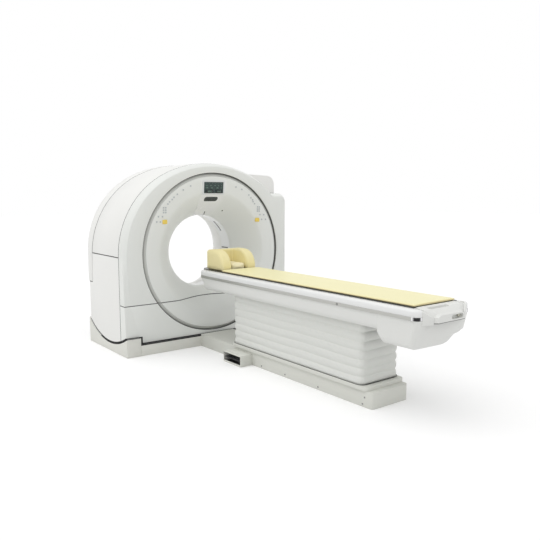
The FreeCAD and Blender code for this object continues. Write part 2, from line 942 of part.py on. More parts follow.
def build_laser_windows():
    """Slit windows of the positioning lasers, on the funnel and in the bore."""
    piece = Piece("laser_windows")
    dot = octagon(197, iso + 417, 6)
    dish_skin(piece, 0, dim("panel_rise") + 1.5)
    keep_only(piece, dot)
    dish_skin(piece, dim("panel_rise"), dim("panel_rise") + 1.5)
    keep_only(piece, dot,
              [(37, iso + 378), (46, iso + 377), (29, iso + 411), (20, iso + 411)])
    for side in (-1, 1):
        piece.pad("XZ", 4, 18, bore_patch(31, 52, side))
        start, end = on_side(side, dim("bore_radius") - 4, dim("bore_radius") - 0.8)
        piece.pad("YZ", start, end, box_loop(-46, 71, iso + 1, iso + 10))
    piece.pad("XZ", -79, -20, bore_patch(82.4, 83.8, 1))
    return piece


def build_left_upper_cover():
    """Curved side cover over the left shoulder, up to the seam on top."""
    piece = Piece("left_upper_cover")
    low = dim("side_seam_height") + half_gap
    end_x = dim("top_seam_x") - half_gap
    haunch, crown = dim("arch_side_radius"), crown_radius
    joint_x, joint_z = arch_joint(0)
    inner_x, inner_z = arch_joint(wall)
    piece.pad("XZ", side_seam + half_gap, rear, [
        (-half_width, low),
        (-half_width, iso),
        (-joint_x, joint_z, haunch, RIGHT),
        (end_x, crown_height(end_x, 0), crown, RIGHT),
        (end_x, crown_height(end_x, wall)),
        (-inner_x, inner_z, crown - wall, LEFT),
        (wall - half_width, iso, haunch - wall, LEFT),
        (wall - half_width, low),
    ])
    cut_behind_seam(piece)
    return piece


def build_left_lower_cover():
    """Side cover that wraps round the rear corner below the step."""
    piece = Piece("left_lower_cover")
    high = dim("side_seam_height") - half_gap
    step = dim("rear_step_height") - half_gap
    near = side_seam + half_gap
    piece.pad("YZ", -half_width, wall - half_width, [
        (near, 60),
        (rear, 60),
        (rear, step),
        (slope_seam(step) - half_gap, step),
        (slope_seam(high) - half_gap, high),
        (near, high),
    ])
    piece.pad("XZ", rear - wall, rear, box_loop(-half_width, 65 - half_width, 60, step))
    cut_under_arc(piece, -1)
    piece.fillet(dim("rear_corner"), lambda edge: along(edge, "z") and meets(
        edge, -amount(half_width), amount(rear)))
    piece.fillet(dim("rear_corner") - wall, lambda edge: along(edge, "z") and meets(
        edge, amount(wall - half_width), amount(rear - wall)))
    return piece


def meets(edge, x, y):
    """True where an upright edge stands at a place in plan."""
    box = edge.BoundBox
    return abs(box.XMin - x) < 0.5 and abs(box.YMin - y) < 0.5


def block_outline(inset, low):
    """Squared right-hand silhouette of the upper block, from its left end."""
    left = dim("block_left")
    high, drop = dim("block_top"), dim("block_drop")
    corner = dim("block_radius")
    return [
        (left, crown_height(left, inset)),
        (half_width - corner, high - drop - inset),
        (half_width - inset, high - drop - corner, corner - inset, RIGHT),
        (half_width - inset, low),
    ]


def closed_band(outer, inner):
    """A loop between two open outlines that run the same way."""
    back = []
    for index in range(len(inner) - 1, -1, -1):
        arrival = inner[index + 1][2:] if index + 1 < len(inner) else ()
        if arrival:
            arrival = (arrival[0], -arrival[1])
        back.append((*inner[index][:2], *arrival))
    return outer + back


def build_right_upper_housing():
    """Right shoulder of the arch with the squared block that rises behind it."""
    piece = Piece("right_upper_housing")
    start_x = dim("top_seam_x") + half_gap
    left = dim("block_left")
    low = dim("shoulder_height") + half_gap
    haunch = dim("arch_side_radius")
    near = side_seam + half_gap
    block_near = -dim("block_front")
    piece.pad("XZ", near, rear, closed_band(
        [(start_x, crown_height(start_x, 0)), (left, crown_height(left, 0), crown_radius, RIGHT)],
        [(start_x, crown_height(start_x, wall)),
         (left, crown_height(left, wall), crown_radius - wall, RIGHT)]))

    def shoulder(inset):
        joint_x, joint_z = arch_joint(inset)
        end_x = haunch_x + side_of(haunch - inset, low - iso)
        return [
            (left, crown_height(left, inset)),
            (joint_x, joint_z, crown_radius - inset, RIGHT),
            (end_x, low, haunch - inset, RIGHT),
        ]

    piece.pad("XZ", near, block_near + wall, closed_band(shoulder(0), shoulder(wall)))
    piece.pad("XZ", block_near, rear, closed_band(
        block_outline(0, low), block_outline(wall, low)))
    piece.pad("XZ", block_near, block_near + wall,
              closed_band(block_outline(0, low), shoulder(wall)))
    cut_behind_seam(piece)
    return piece


def build_right_side_housing():
    """Tall right-hand side cover, with a square shoulder below the block."""
    piece = Piece("right_side_housing")
    high = dim("shoulder_height") - half_gap
    corner = dim("shoulder_radius")
    near = side_seam + half_gap

    def outline(inset):
        return [
            (762, high - inset),
            (half_width - corner, high - inset),
            (half_width - inset, high - corner, corner - inset, RIGHT),
            (half_width - inset, 60),
        ]

    piece.pad("XZ", near, rear, closed_band(outline(0), outline(wall)))
    piece.pad("XZ", near, near + wall, closed_band(outline(0), outline(70)))
    cut_behind_seam(piece)
    cut_under_arc(piece, 1)
    return piece


def rear_outline(inset, low_left, low_right):
    """Outer line of the rear cover, clockwise as seen from the table."""
    joint_x, joint_z = arch_joint(inset)
    left = dim("block_left")
    return [
        (inset - half_width, low_left),
        (inset - half_width, iso),
        (-joint_x, joint_z, dim("arch_side_radius") - inset, RIGHT),
        (left, crown_height(left, inset), crown_radius - inset, RIGHT),
        *block_outline(inset, low_right)[1:],
    ]


def build_rear_cover():
    """Rear wall with its side strip and the bell mouth of the bore."""
    piece = Piece("rear_cover")
    step = dim("rear_step_height") + half_gap
    low = dim("rear_foot_height")
    piece.pad("XZ", slope_seam(iso + dim("arch_rise")) - 30, rear,
              closed_band(rear_outline(0, step, low), rear_outline(wall, step, low)))
    under, over = iso - 900, iso + 1000
    piece.pocket("YZ", -half_width - 1, half_width + 1, [
        (-200, under),
        (slope_seam(under) + half_gap, under),
        (slope_seam(over) + half_gap, over),
        (-200, over),
    ])
    throat, mouth = dim("throat_reach"), dim("rear_mouth_radius")
    bore, curve = dim("bore_radius"), dim("rear_funnel_curve")
    corner_x = 69 - half_width
    piece.pad("XZ", rear - wall, rear, [
        *rear_outline(0, step, low),
        (corner_x, low),
        (corner_x, step),
    ], ("circle", 0, iso, mouth))
    piece.revolve("YZ", 0, bore_axis, [
        (throat, iso + bore),
        (rear, iso + mouth, curve, LEFT),
        (rear, iso + mouth + wall),
        (rear - wall, iso + mouth + wall),
        (throat, iso + bore + wall, curve - wall, RIGHT),
    ])
    cut_under_arc(piece, 1)
    cut_under_arc(piece, -1)
    return piece


def build_scan_window():
    piece = Piece("scan_window")
    end = dim("throat_reach") - dim("rest_gap")
    ring(piece, -end, end, dim("bore_radius") + 4, dim("bore_radius"))
    return piece


# ------------------------------------------------- tilting frame and its stand

def build_tilt_frame():
    """Plate that carries the rotor and covers, with a trunnion on each side."""
    piece = Piece("tilt_frame")
    near, far = dim("frame_plate_front"), dim("frame_plate_rear")
    half = dim("arm_half_height")
    ring(piece, near, far, dim("frame_plate_radius"), dim("frame_plate_bore"))
    for side in (-1, 1):
        reach = half_width - wall - dim("rest_gap")
        haunch_reach = (haunch_x + side_of(dim("arch_side_radius") - wall, half)
                        - dim("rest_gap"))
        piece.pad("XZ", near, far, sided(side, [
            (700, iso - half),
            (reach, iso - half),
            (reach, iso),
            (haunch_reach, iso + half),
            (700, iso + half),
        ]))
        inset = inset_on(side)
        plate = on_side(side, dim("side_plate_inner") - inset, dim("side_plate_outer") - inset)
        piece.pad("YZ", *plate, round_box_loop(-110, near + 1, iso - half, iso + half, 40))
        pivot = on_side(side, dim("side_plate_outer") - inset - 1,
                        dim("stand_inner_x") - inset + dim("stand_thickness") - 1)
        piece.pad("YZ", *pivot, ("circle", 0, iso, dim("trunnion_radius")))
    tab_end = 180
    piece.pad("XZ", near, far, box_loop(
        140, tab_end, iso + 760, crown_height(Size(tab_end, str(tab_end)), wall)
        - dim("rest_gap")))
    posts = [("circle", x, iso + z, 15) for x in (-520, 520) for z in (-520, 520)]
    piece.pad("XZ", far - 1, rear - wall - dim("rest_gap"), *posts)
    return piece


def build_stand(name, side):
    """Upright that holds one trunnion bearing, widening to its head."""
    piece = Piece(name)
    inner = dim("stand_inner_x") - inset_on(side)
    base = dim("floor_plate")
    head = 110
    levels = on_side(side, inner, inner + dim("stand_thickness"))
    piece.pad("YZ", *levels, [
        (30, base),
        (122, base),
        (122, 250),
        (head, iso),
        (0, iso + head, head, LEFT),
        (-head, iso, head, LEFT),
        (30, 250),
    ], ("circle", 0, iso, dim("bearing_radius")))
    foot = on_side(side, inner - 25, inner + dim("stand_thickness") + 40)
    piece.pad("XY", base, base + 18, box_loop(*foot, -20, 200))
    return piece


def build_tilt_bearings():
    piece = Piece("tilt_bearings")
    for side in (-1, 1):
        inner = dim("stand_inner_x") - inset_on(side)
        levels = on_side(side, inner, inner + dim("stand_thickness"))
        piece.pad("YZ", *levels, ("circle", 0, iso, dim("bearing_radius")),
                  ("circle", 0, iso, dim("trunnion_radius") + dim("shaft_gap")))
    return piece


def build_tilt_gearmotor():
    """Drive on the outside of the left stand."""
    piece = Piece("tilt_gearmotor")
    inner = dim("stand_inner_x") + dim("stand_thickness")
    piece.pad("YZ", *on_side(-1, inner, inner + 38), ("circle", 0, iso, 75))
    piece.pad("YZ", *on_side(-1, inner, inner + 34),
              round_box_loop(-42, 42, iso - 230, iso - 40, 12))
    return piece


def build_plinth(name, side):
    """Shell round the foot of one stand; its top follows the swing arc."""
    piece = Piece(name)
    near, far = -dim("plinth_reach"), rear + 20
    inner = dim("foot_half_width")
    thick = 8

    def profile(inset, low):
        radius = dim("plinth_arc") + inset
        start, end = near + inset, far - inset
        return [
            (start, low),
            (end, low),
            (end, iso - side_of(radius, end)),
            (start, iso - side_of(radius, start), radius, RIGHT),
        ]

    piece.pad("YZ", *on_side(side, inner, half_width), profile(0, 0))
    piece.pocket("YZ", *on_side(side, inner - 1, half_width - thick), profile(thick, -1))
    stand = dim("stand_inner_x") - inset_on(side)
    slot = on_side(side, stand - 7, stand + dim("stand_thickness") + 7)
    piece.pocket("XY", 40, 400, box_loop(*slot, 10, 154))
    piece.pad("XZ", far - dim("strip_wall"), far,
              box_loop(*on_side(side, 1, inner + thick), 0, dim("strip_height")))
    return piece


def build_front_plinth_strip():
    piece = Piece("front_plinth_strip")
    near = -dim("plinth_reach")
    reach = dim("foot_half_width")
    piece.pad("XZ", near, near + dim("strip_wall"),
              box_loop(-reach, reach, 0, dim("strip_height")))
    return piece


def build_floor_frame():
    """Flat base under the gantry, with its anchor holes."""
    piece = Piece("floor_frame")
    reach = half_width - 10
    near, far = 20 - dim("plinth_reach"), rear
    span_x, span_y = dim("anchor_span_x") / 2, dim("anchor_span_y") / 2
    bolts = [("circle", x, y, dim("anchor_hole_radius"))
             for x in (-span_x, span_x) for y in (-span_y, span_y)]
    windows = [box_loop(x_low, x_high, y_low, y_high)
               for x_low, x_high in ((-700, -420), (-370, -90), (90, 370), (420, 700))
               for y_low, y_high in ((-260, -60), (60, 340))]
    piece.pad("XY", 0, dim("floor_plate"), box_loop(-reach, reach, near, far),
              *bolts, *windows)
    return piece


# ------------------------------------------------------------- rotating parts

def build_rotor_bearing():
    """Stationary race, fixed to the plate round the rotor's hub."""
    piece = Piece("rotor_bearing")
    ring(piece, dim("drum_plate_rear") + 8, dim("frame_plate_front"), dim("race_radius"),
         dim("hub_outer") + dim("rest_gap"))
    return piece


def build_rotor_drum():
    """Ring plate with its rim, bearing hub and slip-ring sleeve."""
    piece = Piece("rotor_drum")
    plate_near, plate_far = dim("drum_plate_front"), dim("drum_plate_rear")
    rim = dim("drum_radius")
    piece.revolve("YZ", 0, bore_axis, [
        (plate_near, iso + dim("drum_inner")),
        (plate_far, iso + dim("drum_inner")),
        (plate_far, iso + dim("hub_inner")),
        (dim("slip_ring_front"), iso + dim("hub_inner")),
        (dim("slip_ring_front"), iso + dim("sleeve_outer")),
        (dim("hub_rear"), iso + dim("sleeve_outer")),
        (dim("hub_rear"), iso + dim("hub_outer")),
        (plate_far, iso + dim("hub_outer")),
        (plate_far, iso + rim),
        (dim("drum_front"), iso + rim),
        (dim("drum_front"), iso + rim - dim("drum_rim")),
        (plate_near, iso + rim - dim("drum_rim")),
    ])
    return piece


def build_slip_ring():
    piece = Piece("slip_ring")
    near, far = dim("slip_ring_front"), dim("slip_ring_rear")
    inner, outer = dim("hub_inner"), dim("slip_ring_radius")
    track, pitch = 5, 32
    profile = [(near, iso + inner), (near, iso + outer)]
    tracks = 3
    for index in range(tracks):
        edge = outer - 16 - pitch * index
        profile += [(far, iso + edge + 12), (far, iso + edge), (far - track, iso + edge),
                    (far - track, iso + edge - 12)]
    profile += [(far, iso + outer - 16 - pitch * tracks + 12), (far, iso + inner)]
    piece.revolve("YZ", 0, bore_axis, profile)
    return piece


def build_xray_tube():
    """Tube housing, parallel to the bore axis, on feet from the drum plate."""
    piece = Piece("xray_tube")
    centre, radius = dim("tube_centre"), dim("tube_radius")
    length = dim("tube_half_length")
    piece.revolve("YZ", 0, ((0, iso + centre), (100, iso + centre)), [
        (-length, iso + centre),
        (-length, iso + centre + radius - 30),
        (-length + 30, iso + centre + radius),
        (length - 30, iso + centre + radius),
        (length, iso + centre + radius - 30),
        (length, iso + centre),
    ])
    piece.pad("XZ", length - 10, dim("drum_plate_front"),
              box_loop(-60, 60, iso + centre - 50, iso + centre + 50))
    return piece


def build_collimator():
    """Tapered beam limiter between the tube and the bore."""
    piece = Piece("collimator")
    top = iso + dim("tube_centre") - dim("tube_radius") - dim("rest_gap")
    piece.pad("XZ", -60, 60, [
        (-110, top - 60),
        (110, top - 60),
        (60, top),
        (-60, top),
    ])
    piece.pocket("XZ", -20, 20, [
        (-80, top - 61),
        (80, top - 61),
        (30, top - 8),
        (-30, top - 8),
    ])
    return piece


def build_hv_tank():
    piece = Piece("hv_tank")
    piece.pad("XZ", -150, dim("drum_plate_front"),
              round_box_loop(-670, -450, iso - 20, iso + 220, 20))
    return piece


def build_detector():
    """Arc of detector modules, opposite the tube."""
    piece = Piece("detector")
    inner = dim("detector_radius")
    outer = inner + dim("detector_thickness")
    angle = dim("detector_half_angle")
    half_depth = dim("detector_half_depth")
    in_x, in_z = inner * sine(angle), inner * cosine(angle)
    out_x, out_z = outer * sine(angle), outer * cosine(angle)
    piece.pad("XZ", -half_depth, half_depth, [
        (-in_x, iso - in_z, inner, RIGHT),
        (-out_x, iso - out_z),
        (out_x, iso - out_z, outer, LEFT),
        (in_x, iso - in_z),
    ])
    piece.pad("XZ", half_depth - 1, dim("drum_plate_front"),
              box_loop(-200, 200, iso - outer + 20, iso - outer + 70))
    return piece


# -------------------------------------------------------------- patient table

def build_table_base():
    """Long channel under the table, rounded at its foot end."""
    piece = Piece("table_base")
    half = dim("base_half_width")
    near, far = -dim("table_front"), -dim("table_foot")
    sheet_wall = 6

    def outline(inset, gantry_end):
        corner = 30 - inset
        return [
            (-half + inset, gantry_end),
            (-half + inset, far + inset + corner),
            (-half + inset + corner, far + inset, corner, LEFT),
            (half - inset - corner, far + inset),
            (half - inset, far + inset + corner, corner, LEFT),
            (half - inset, gantry_end),
        ]

    piece.pad("XY", 0, dim("base_height"), outline(0, near))
    piece.pocket("XY", -1, dim("base_height") - sheet_wall, outline(sheet_wall, near - sheet_wall))
    holes = [("circle", 0, -dim(name), dim("column_radius") + dim("rest_gap"))
             for name in ("column_front_y", "column_rear_y")]
    piece.pocket("XY", dim("base_height") - 20, dim("base_height") + 1, *holes)
    return piece


SCREWS = [(-1424, 23), (-1754, 24), (-2166, 24), (-2645, 22), (-2665, 75)]


def build_base_screws():
    piece = Piece("base_screws")
    for side in (-1, 1):
        levels = on_side(side, dim("base_half_width"), dim("base_half_width") + 2)
        piece.pad("YZ", *levels, *[octagon(y, z, 7) for y, z in SCREWS])
    return piece


def build_bellows_rim():
    piece = Piece("bellows_rim")
    half = dim("rim_half_width")
    near, far = -dim("rim_foot"), -dim("rim_front")
    rim = 44
    piece.pad("XY", dim("base_height"), dim("rim_height"),
              round_box_loop(-half, half, near, far, 40),
              round_box_loop(-half + rim, half - rim, near + rim, far - rim, 12))
    return piece


def build_bellows():
    """Pleated skirt: folds in and out by one depth, with a narrower top fold."""
    piece = Piece("bellows")
    half = dim("bellows_half_width")
    near, far = -dim("bellows_foot"), -dim("bellows_front")
    low, high = dim("rim_height"), dim("bellows_top")
    pleats = DIMENSIONS["pleat_count"]
    pitch = (high - low) / dim("pleat_count")

    def section(inset):
        return round_box_loop(-half + inset, half - inset, near + inset, far - inset,
                              dim("bellows_corner") - inset)

    depth = dim("bellows_depth")
    levels = [(low, section(depth * 0.5))]
    for index in range(pleats):
        crest = low + pitch * (index + 0.45)
        valley = low + pitch * (index + 1)
        levels.append((crest, section(depth * 0)))
        levels.append((valley, section(depth)))
    levels[-1] = (high, section(depth * 0.6))
    piece.loft("XY", levels)
    hollow = depth + 4
    piece.pocket("XY", low - 1, high + 1, section(hollow))
    return piece


def build_columns():
    """Two telescopic lifting columns in three stages each."""
    thick, gap = dim("column_wall"), dim("column_gap")
    outer = dim("column_radius")
    stages = [
        ("outer_columns", Size(0, "0"), dim("outer_column_top")),
        ("mid_columns", dim("mid_column_low"), dim("mid_column_top")),
        ("inner_columns", dim("inner_column_low"), dim("frame_low")),
    ]
    for order, (name, low, high) in enumerate(stages):
        piece = Piece(name)
        radius = outer - (thick + gap) * order
        for place in ("column_front_y", "column_rear_y"):
            tube(piece, low, high, -dim(place), radius, radius - thick)


def build_lift_motor():
    piece = Piece("lift_motor")
    base = dim("base_height")
    piece.pad("XY", base, base + 16, box_loop(-70, 70, -1940, -1720))
    piece.pad("XZ", -1930, -1730, ("circle", 0, base + 74, 60))
    return piece


def build_table_frame():
    """Flat carrier plate that the lifting columns push on."""
    piece = Piece("table_frame")
    low = dim("frame_low")
    reach = dim("body_half_width") - wall - dim("rest_gap")
    windows = [box_loop(-150, 150, y_low, y_low + 340)
               for y_low in (-1080, -1840, -2740)]
    piece.pad("XY", low, low + dim("frame_thickness"),
              box_loop(-reach, reach, -dim("box_front"), -dim("body_cap")), *windows)
    return piece


def build_cradle_guides():
    """Two straight guide strips that the cradle slides on."""
    piece = Piece("cradle_guides")
    top = dim("cradle_low") - dim("rest_gap")
    for side in (-1, 1):
        levels = on_side(side, 218, 231)
        piece.pad("XZ", -dim("handle_front") + 12, -dim("body_cap") - 10,
                  box_loop(*levels, dim("frame_low") + dim("frame_thickness"), top))
    return piece


def build_table_side_cover(name, side):
    """Side wall with a rounded lower edge that turns in over the bellows."""
    piece = Piece(name)
    half, low = dim("body_half_width"), dim("body_low")
    corner = dim("body_corner")
    high = dim("rail_low") - dim("rest_gap")

    def section(inset):
        return [
            (190, low + inset),
            (half - corner, low + inset),
            (half - inset, low + corner, corner - inset, LEFT),
            (half - inset, high),
        ]

    piece.pad("XZ", -dim("box_front"), -dim("body_cap"),
              sided(side, closed_band(section(0), section(wall))))
    return piece


def build_table_front_cover():
    """Gantry end of the table: a tub section with drawn-in lower corners."""
    piece = Piece("table_front_cover")
    half, low = dim("body_half_width"), dim("body_low") - 14
    high = dim("rail_low") - dim("rest_gap")
    top = dim("cradle_low") - 5
    piece.pad("XZ", -dim("body_cap"), -dim("body_front"), [
        (-half, high),
        (-half, 712),
        (42 - half, 642),
        (85 - half, low, 70, LEFT),
        (half - 85, low),
        (half - 42, 642, 70, LEFT),
        (half, 712),
        (half, high),
        (232, high),
        (232, top),
        (-232, top),
        (-232, high),
    ])
    return piece


def handle_edge(y):
    """Half width of the cradle's handle, and the height of its top, at a Y."""
    near, knee, bend = -dim("handle_front"), -dim("handle_knee"), -dim("handle_bend")
    if amount(y) >= amount(knee):
        part = (near - y) / (near - knee)
        return 216 - 6 * part, 800 - 10 * part
    part = (knee - y) / (knee - bend)
    return 210 - 55 * part, 790 - 44 * part


def build_table_foot_cover():
    """Foot-end housing, deeper on its left, with a channel for the handle and
    a cap on each side that closes the corner between handle and rail."""
    piece = Piece("table_foot_cover")
    half, low = dim("body_half_width"), dim("box_low")
    high = dim("rail_low") - dim("rest_gap")
    floor = dim("frame_low") + 8
    back = -dim("box_front")

    def plan(foot, corner, bow):
        return [
            (-half, back),
            (-half, foot + corner),
            (corner - half, foot, corner, LEFT),
            (half - corner, foot, bow, LEFT),
            (half, foot + corner, corner, LEFT),
            (half, back),
        ]

    piece.loft("XY", [
        (low - 12, plan(-dim("body_foot_low"), dim("foot_corner") - 8, 8000)),
        (high, plan(-dim("body_foot"), dim("foot_corner"), 1800)),
    ])
    piece.pocket("XZ", -dim("body_foot") - 60, back + 1,
                 box_loop(-half - 20, half + 20, low - 30, high + 20), [
        (-half - 5, low + 40),
        (-half, low + 40),
        (40 - half, low, 40, LEFT),
        (30, low - 4),
        (105, low + 14, 150, LEFT),
        (150, low + 55),
        (200, low + 62),
        (half - 20, low + 84),
        (half, low + 130, 60, LEFT),
        (half + 5, low + 130),
        (half + 5, high + 10),
        (232, high + 10),
        (232, floor),
        (-232, floor),
        (-232, high + 10),
        (-half - 5, high + 10),
    ])
    piece.pocket("YZ", -half - 1, half + 1, [
        (back + 1, low - 20),
        (back + 1, dim("body_low") - 4),
        (back - 75, low - 20),
    ])
    outer = dim("rail_inner") - dim("rest_gap")
    near = -dim("handle_front") - 1
    corner_front = -dim("rail_foot") - dim("rail_proud") - half + dim("rail_inner")
    for side in (-1, 1):
        sections = []
        for y, reach, top in (
                (near, outer, dim("rail_high")),
                (-dim("handle_knee"), outer, dim("rail_high") - 6),
                (corner_front - 2, outer, dim("rail_high") - 14),
                (-dim("handle_bend"), Size(176, "176"), dim("rail_high") - 50)):
            width, height = handle_edge(y)
            inner = width + dim("cap_gap")
            sections.append((y, sided(side, [
                (inner, floor - 2), (reach, floor - 2), (reach, top), (inner, height)])))
        piece.loft("XZ", sections)
    return piece


def rail_corner_axis(side):
    """Upright line that a rail's rounded end turns about, seen from the front."""
    x = side * dim("rail_inner")
    return ((x, 800), (x, 700)) if side > 0 else ((x, 700), (x, 800))


def build_rail(name, side):
    """Bumper rail with a rounded top, a groove above its lower strip and a
    foot end that turns through a quarter circle."""
    piece = Piece(name)
    outer = dim("body_half_width") + dim("rail_proud")
    inner = dim("rail_inner")
    low, high, split = dim("rail_low"), dim("rail_high"), dim("rail_split")
    section = sided(side, [
        (inner, low),
        (outer, low),
        (outer, split),
        (outer - 3, split),
        (outer - 3, split + 4),
        (outer, split + 4),
        (outer, high - 20),
        (outer - 20, high, 20, LEFT),
        (inner, high),
    ])
    foot = -dim("rail_foot")
    piece.pad("XZ", foot, -dim("body_front"), section)
    piece.turned("Revolution", "XZ", foot, rail_corner_axis(side), [section], 90.0)
    return piece


def build_foot_trims():
    """Polished bands round the foot-end corners, on the rails' lower strip."""
    piece = Piece("foot_trims")
    inner = dim("body_half_width") + dim("rail_proud") + dim("rest_gap")
    for side in (-1, 1):
        piece.turned("Revolution", "XZ", -dim("rail_foot"), rail_corner_axis(side), [
            sided(side, box_loop(inner, inner + 1.5, dim("rail_low") + 1, dim("rail_split") - 1))
        ], 90.0)
    return piece


# --------------------------------------------------------- cradle and handle

def build_cradle_top():
    piece = Piece("cradle_top")
    half = dim("cradle_half_width")
    foot, front_end = -dim("cradle_foot"), -dim("cradle_front")
    piece.pad("XY", dim("cradle_low"), dim("cradle_high"), [
        (-half, foot),
        (half, foot),
        (half, front_end - 150),
        (half - 70, front_end, 180, LEFT),
        (70 - half, front_end),
        (-half, front_end - 150, 180, LEFT),
    ])
    return piece


def build_mattress():
    """Thin pad with round edges and a slight crown."""
    piece = Piece("mattress")
    half, thick = dim("mattress_half_width"), dim("mattress_thickness")
    low = dim("cradle_high")
    edge = 8
    piece.pad("XZ", -dim("cradle_foot") + 4, -dim("mattress_front"), [
        (half - edge, low),
        (half, low + edge, edge, LEFT),
        (half - edge, low + edge * 2, edge, LEFT),
        (0, low + thick, 7700, LEFT),
        (edge - half, low + edge * 2, 7700, LEFT),
        (-half, low + edge, edge, LEFT),
        (edge - half, low, edge, LEFT),
    ])
    return piece


def build_headrest():
    """Head holder: a block that curves down to the foot, with a recess between
    its two side cheeks."""
    piece = Piece("headrest")
    half, hollow = dim("headrest_half_width"), dim("head_hollow")
    low = dim("cradle_high")
    gantry_end = -dim("headrest_front")
    foot = gantry_end - dim("headrest_length")
    high = low + dim("headrest_height")
    curve = dim("headrest_round")
    piece.pad("YZ", -half, half, [
        (foot, low),
        (gantry_end, low),
        (gantry_end, high - 34),
        (gantry_end - 34, high, 34, LEFT),
        (foot + curve, high),
        (foot, high - curve, curve, LEFT),
    ])
    back = gantry_end - dim("head_wall")
    corner = 20
    piece.pocket("XY", low - 1, high + 1, [
        (-hollow, foot - 1),
        (hollow, foot - 1),
        (hollow, back - corner),
        (hollow - corner, back, corner, LEFT),
        (corner - hollow, back),
        (-hollow, back - corner, corner, LEFT),
    ])
    piece.fillet(26, lambda edge: on_flank(edge, half) and edge.BoundBox.ZMax > amount(low) + 40)
    piece.fillet(14, lambda edge: edge.BoundBox.ZMax > amount(low) + 40
                 and edge.BoundBox.YMax < amount(back) + 1
                 and not along(edge, "z") and inside_flank(edge, hollow))
    return piece


def on_flank(edge, half):
    """True for an edge that lies in the outer side face of a piece."""
    box = edge.BoundBox
    return box.XLength < 0.01 and abs(abs(box.XMin) - amount(half)) < 0.01


def inside_flank(edge, half):
    box = edge.BoundBox
    return max(abs(box.XMin), abs(box.XMax)) < amount(half) + 0.01


def build_head_pad():
    """Rounded pad on the floor of the head recess."""
    piece = Piece("head_pad")
    low, half = dim("cradle_high"), dim("head_pad_half_width")
    gantry_end = -dim("headrest_front") - dim("head_wall")
    foot = -dim("headrest_front") - dim("headrest_length")
    high = low + dim("head_pad_thickness")
    piece.pad("XY", low, high, round_box_loop(
        -half, half, foot + 21, gantry_end - dim("rest_gap"), 24))
    piece.fillet(20, lambda edge: edge.BoundBox.ZMin > amount(high) - 0.1)
    return piece


def build_cradle_handle():
    """Wedge at the cradle's foot end, with a finger recess in its top and
    another in its front."""
    piece = Piece("cradle_handle")
    near, knee = -dim("handle_front"), -dim("handle_knee")
    bend, foot = -dim("handle_bend"), -dim("handle_foot")
    low = dim("handle_low")

    def section(y, base, half, side_top, flat, top):
        return y, [(-half, base), (half, base), (half, side_top), (flat, top),
                   (-flat, top), (-half, side_top)]

    piece.loft("XZ", [
        section(near, dim("cradle_low"), *handle_edge(near), 190, dim("cradle_high")),
        section(knee, low, *handle_edge(knee), 165, dim("cradle_high") - 8),
        section(bend, low, *handle_edge(bend), 118, dim("cradle_high") - 34),
        section(foot, low + 2, 140, dim("cradle_high") - 60, 110, dim("cradle_high") - 46),
    ])
    piece.pocket("XY", 768, dim("cradle_high") + 5,
                 round_box_loop(-150, 60, foot + 62, foot + 94, 15))
    piece.pocket("XZ", foot - 1, -dim("recess_back"),
                 round_box_loop(0, 124, low + 14, low + 44, 13))
    piece.pocket("XZ", -dim("recess_back") - 1, -dim("recess_back") + 28,
                 ("circle", 102, low + 29, 7.4))
    return piece


def build_release_knob():
    """Push knob on the back wall of the front recess."""
    piece = Piece("release_knob")
    back = -dim("recess_back")
    seat = back - dim("knob_travel") - 0.6
    piece.pad("XZ", seat - 1, back + 20, ("circle", 102, dim("handle_low") + 29, 7))
    piece.pad("XZ", seat - 9, seat,
              ("circle", 102, dim("handle_low") + 29, dim("knob_radius")))
    return piece


# ------------------------------------------------------------------ foot pedals

def pedal_pin():
    """X of the hinge pin."""
    return -dim("base_half_width") - dim("pedal_pin_inset")


def build_pedal_box():
    """Guard box beside the base, open on its outer side, with the hinge pin."""
    piece = Piece("pedal_box")
    middle, half = -dim("pedal_box_y"), dim("pedal_box_half_length")
    inner = -dim("base_half_width")
    outer = inner - dim("pedal_box_depth")
    high, thick = dim("pedal_box_height"), dim("pedal_box_wall")
    corner = 16
    piece.pad("XY", 0, high, [
        (inner, middle - half),
        (inner, middle + half),
        (outer + corner, middle + half),
        (outer, middle + half - corner, corner, LEFT),
        (outer, middle - half + corner),
        (outer + corner, middle - half, corner, LEFT),
    ])
    piece.pocket("YZ", outer - 1, inner - 18, box_loop(
        middle - half + thick, middle + half - thick, -1, high - thick))
    holes = [("circle", inner - 95, middle + y, 9) for y in (-50, 50)]
    piece.pocket("XY", high - thick - 1, high + 1, *holes)
    piece.pad("XZ", middle - half + thick - 1, middle + half - thick + 1,
              ("circle", pedal_pin(), dim("pedal_pin_height"), dim("pedal_pin_radius")))
    return piece


def build_pedal(name, offset):
    """Tread plate on a knuckle that turns on the pin."""
    piece = Piece(name)
    middle = -dim("pedal_box_y") + offset
    near, far = middle - 56, middle + 56
    pin_x, pin_z = pedal_pin(), dim("pedal_pin_height")
    reach = pin_x - 95
    piece.pad("XZ", near, far, [
        (reach, pin_z - 16),
        (pin_x - 6, pin_z - 8),
        (pin_x, pin_z - 10),
        (pin_x + 10, pin_z, 10, LEFT),
        (pin_x, pin_z + 10, 10, LEFT),
        (pin_x - 6, pin_z + 4),
        (reach + 4, pin_z - 4),
        (reach, pin_z - 8),
    ], ("circle", pin_x, pin_z, dim("pedal_pin_radius") + dim("shaft_gap")))
    return piece


# ------------------------------------------------------------------- build all

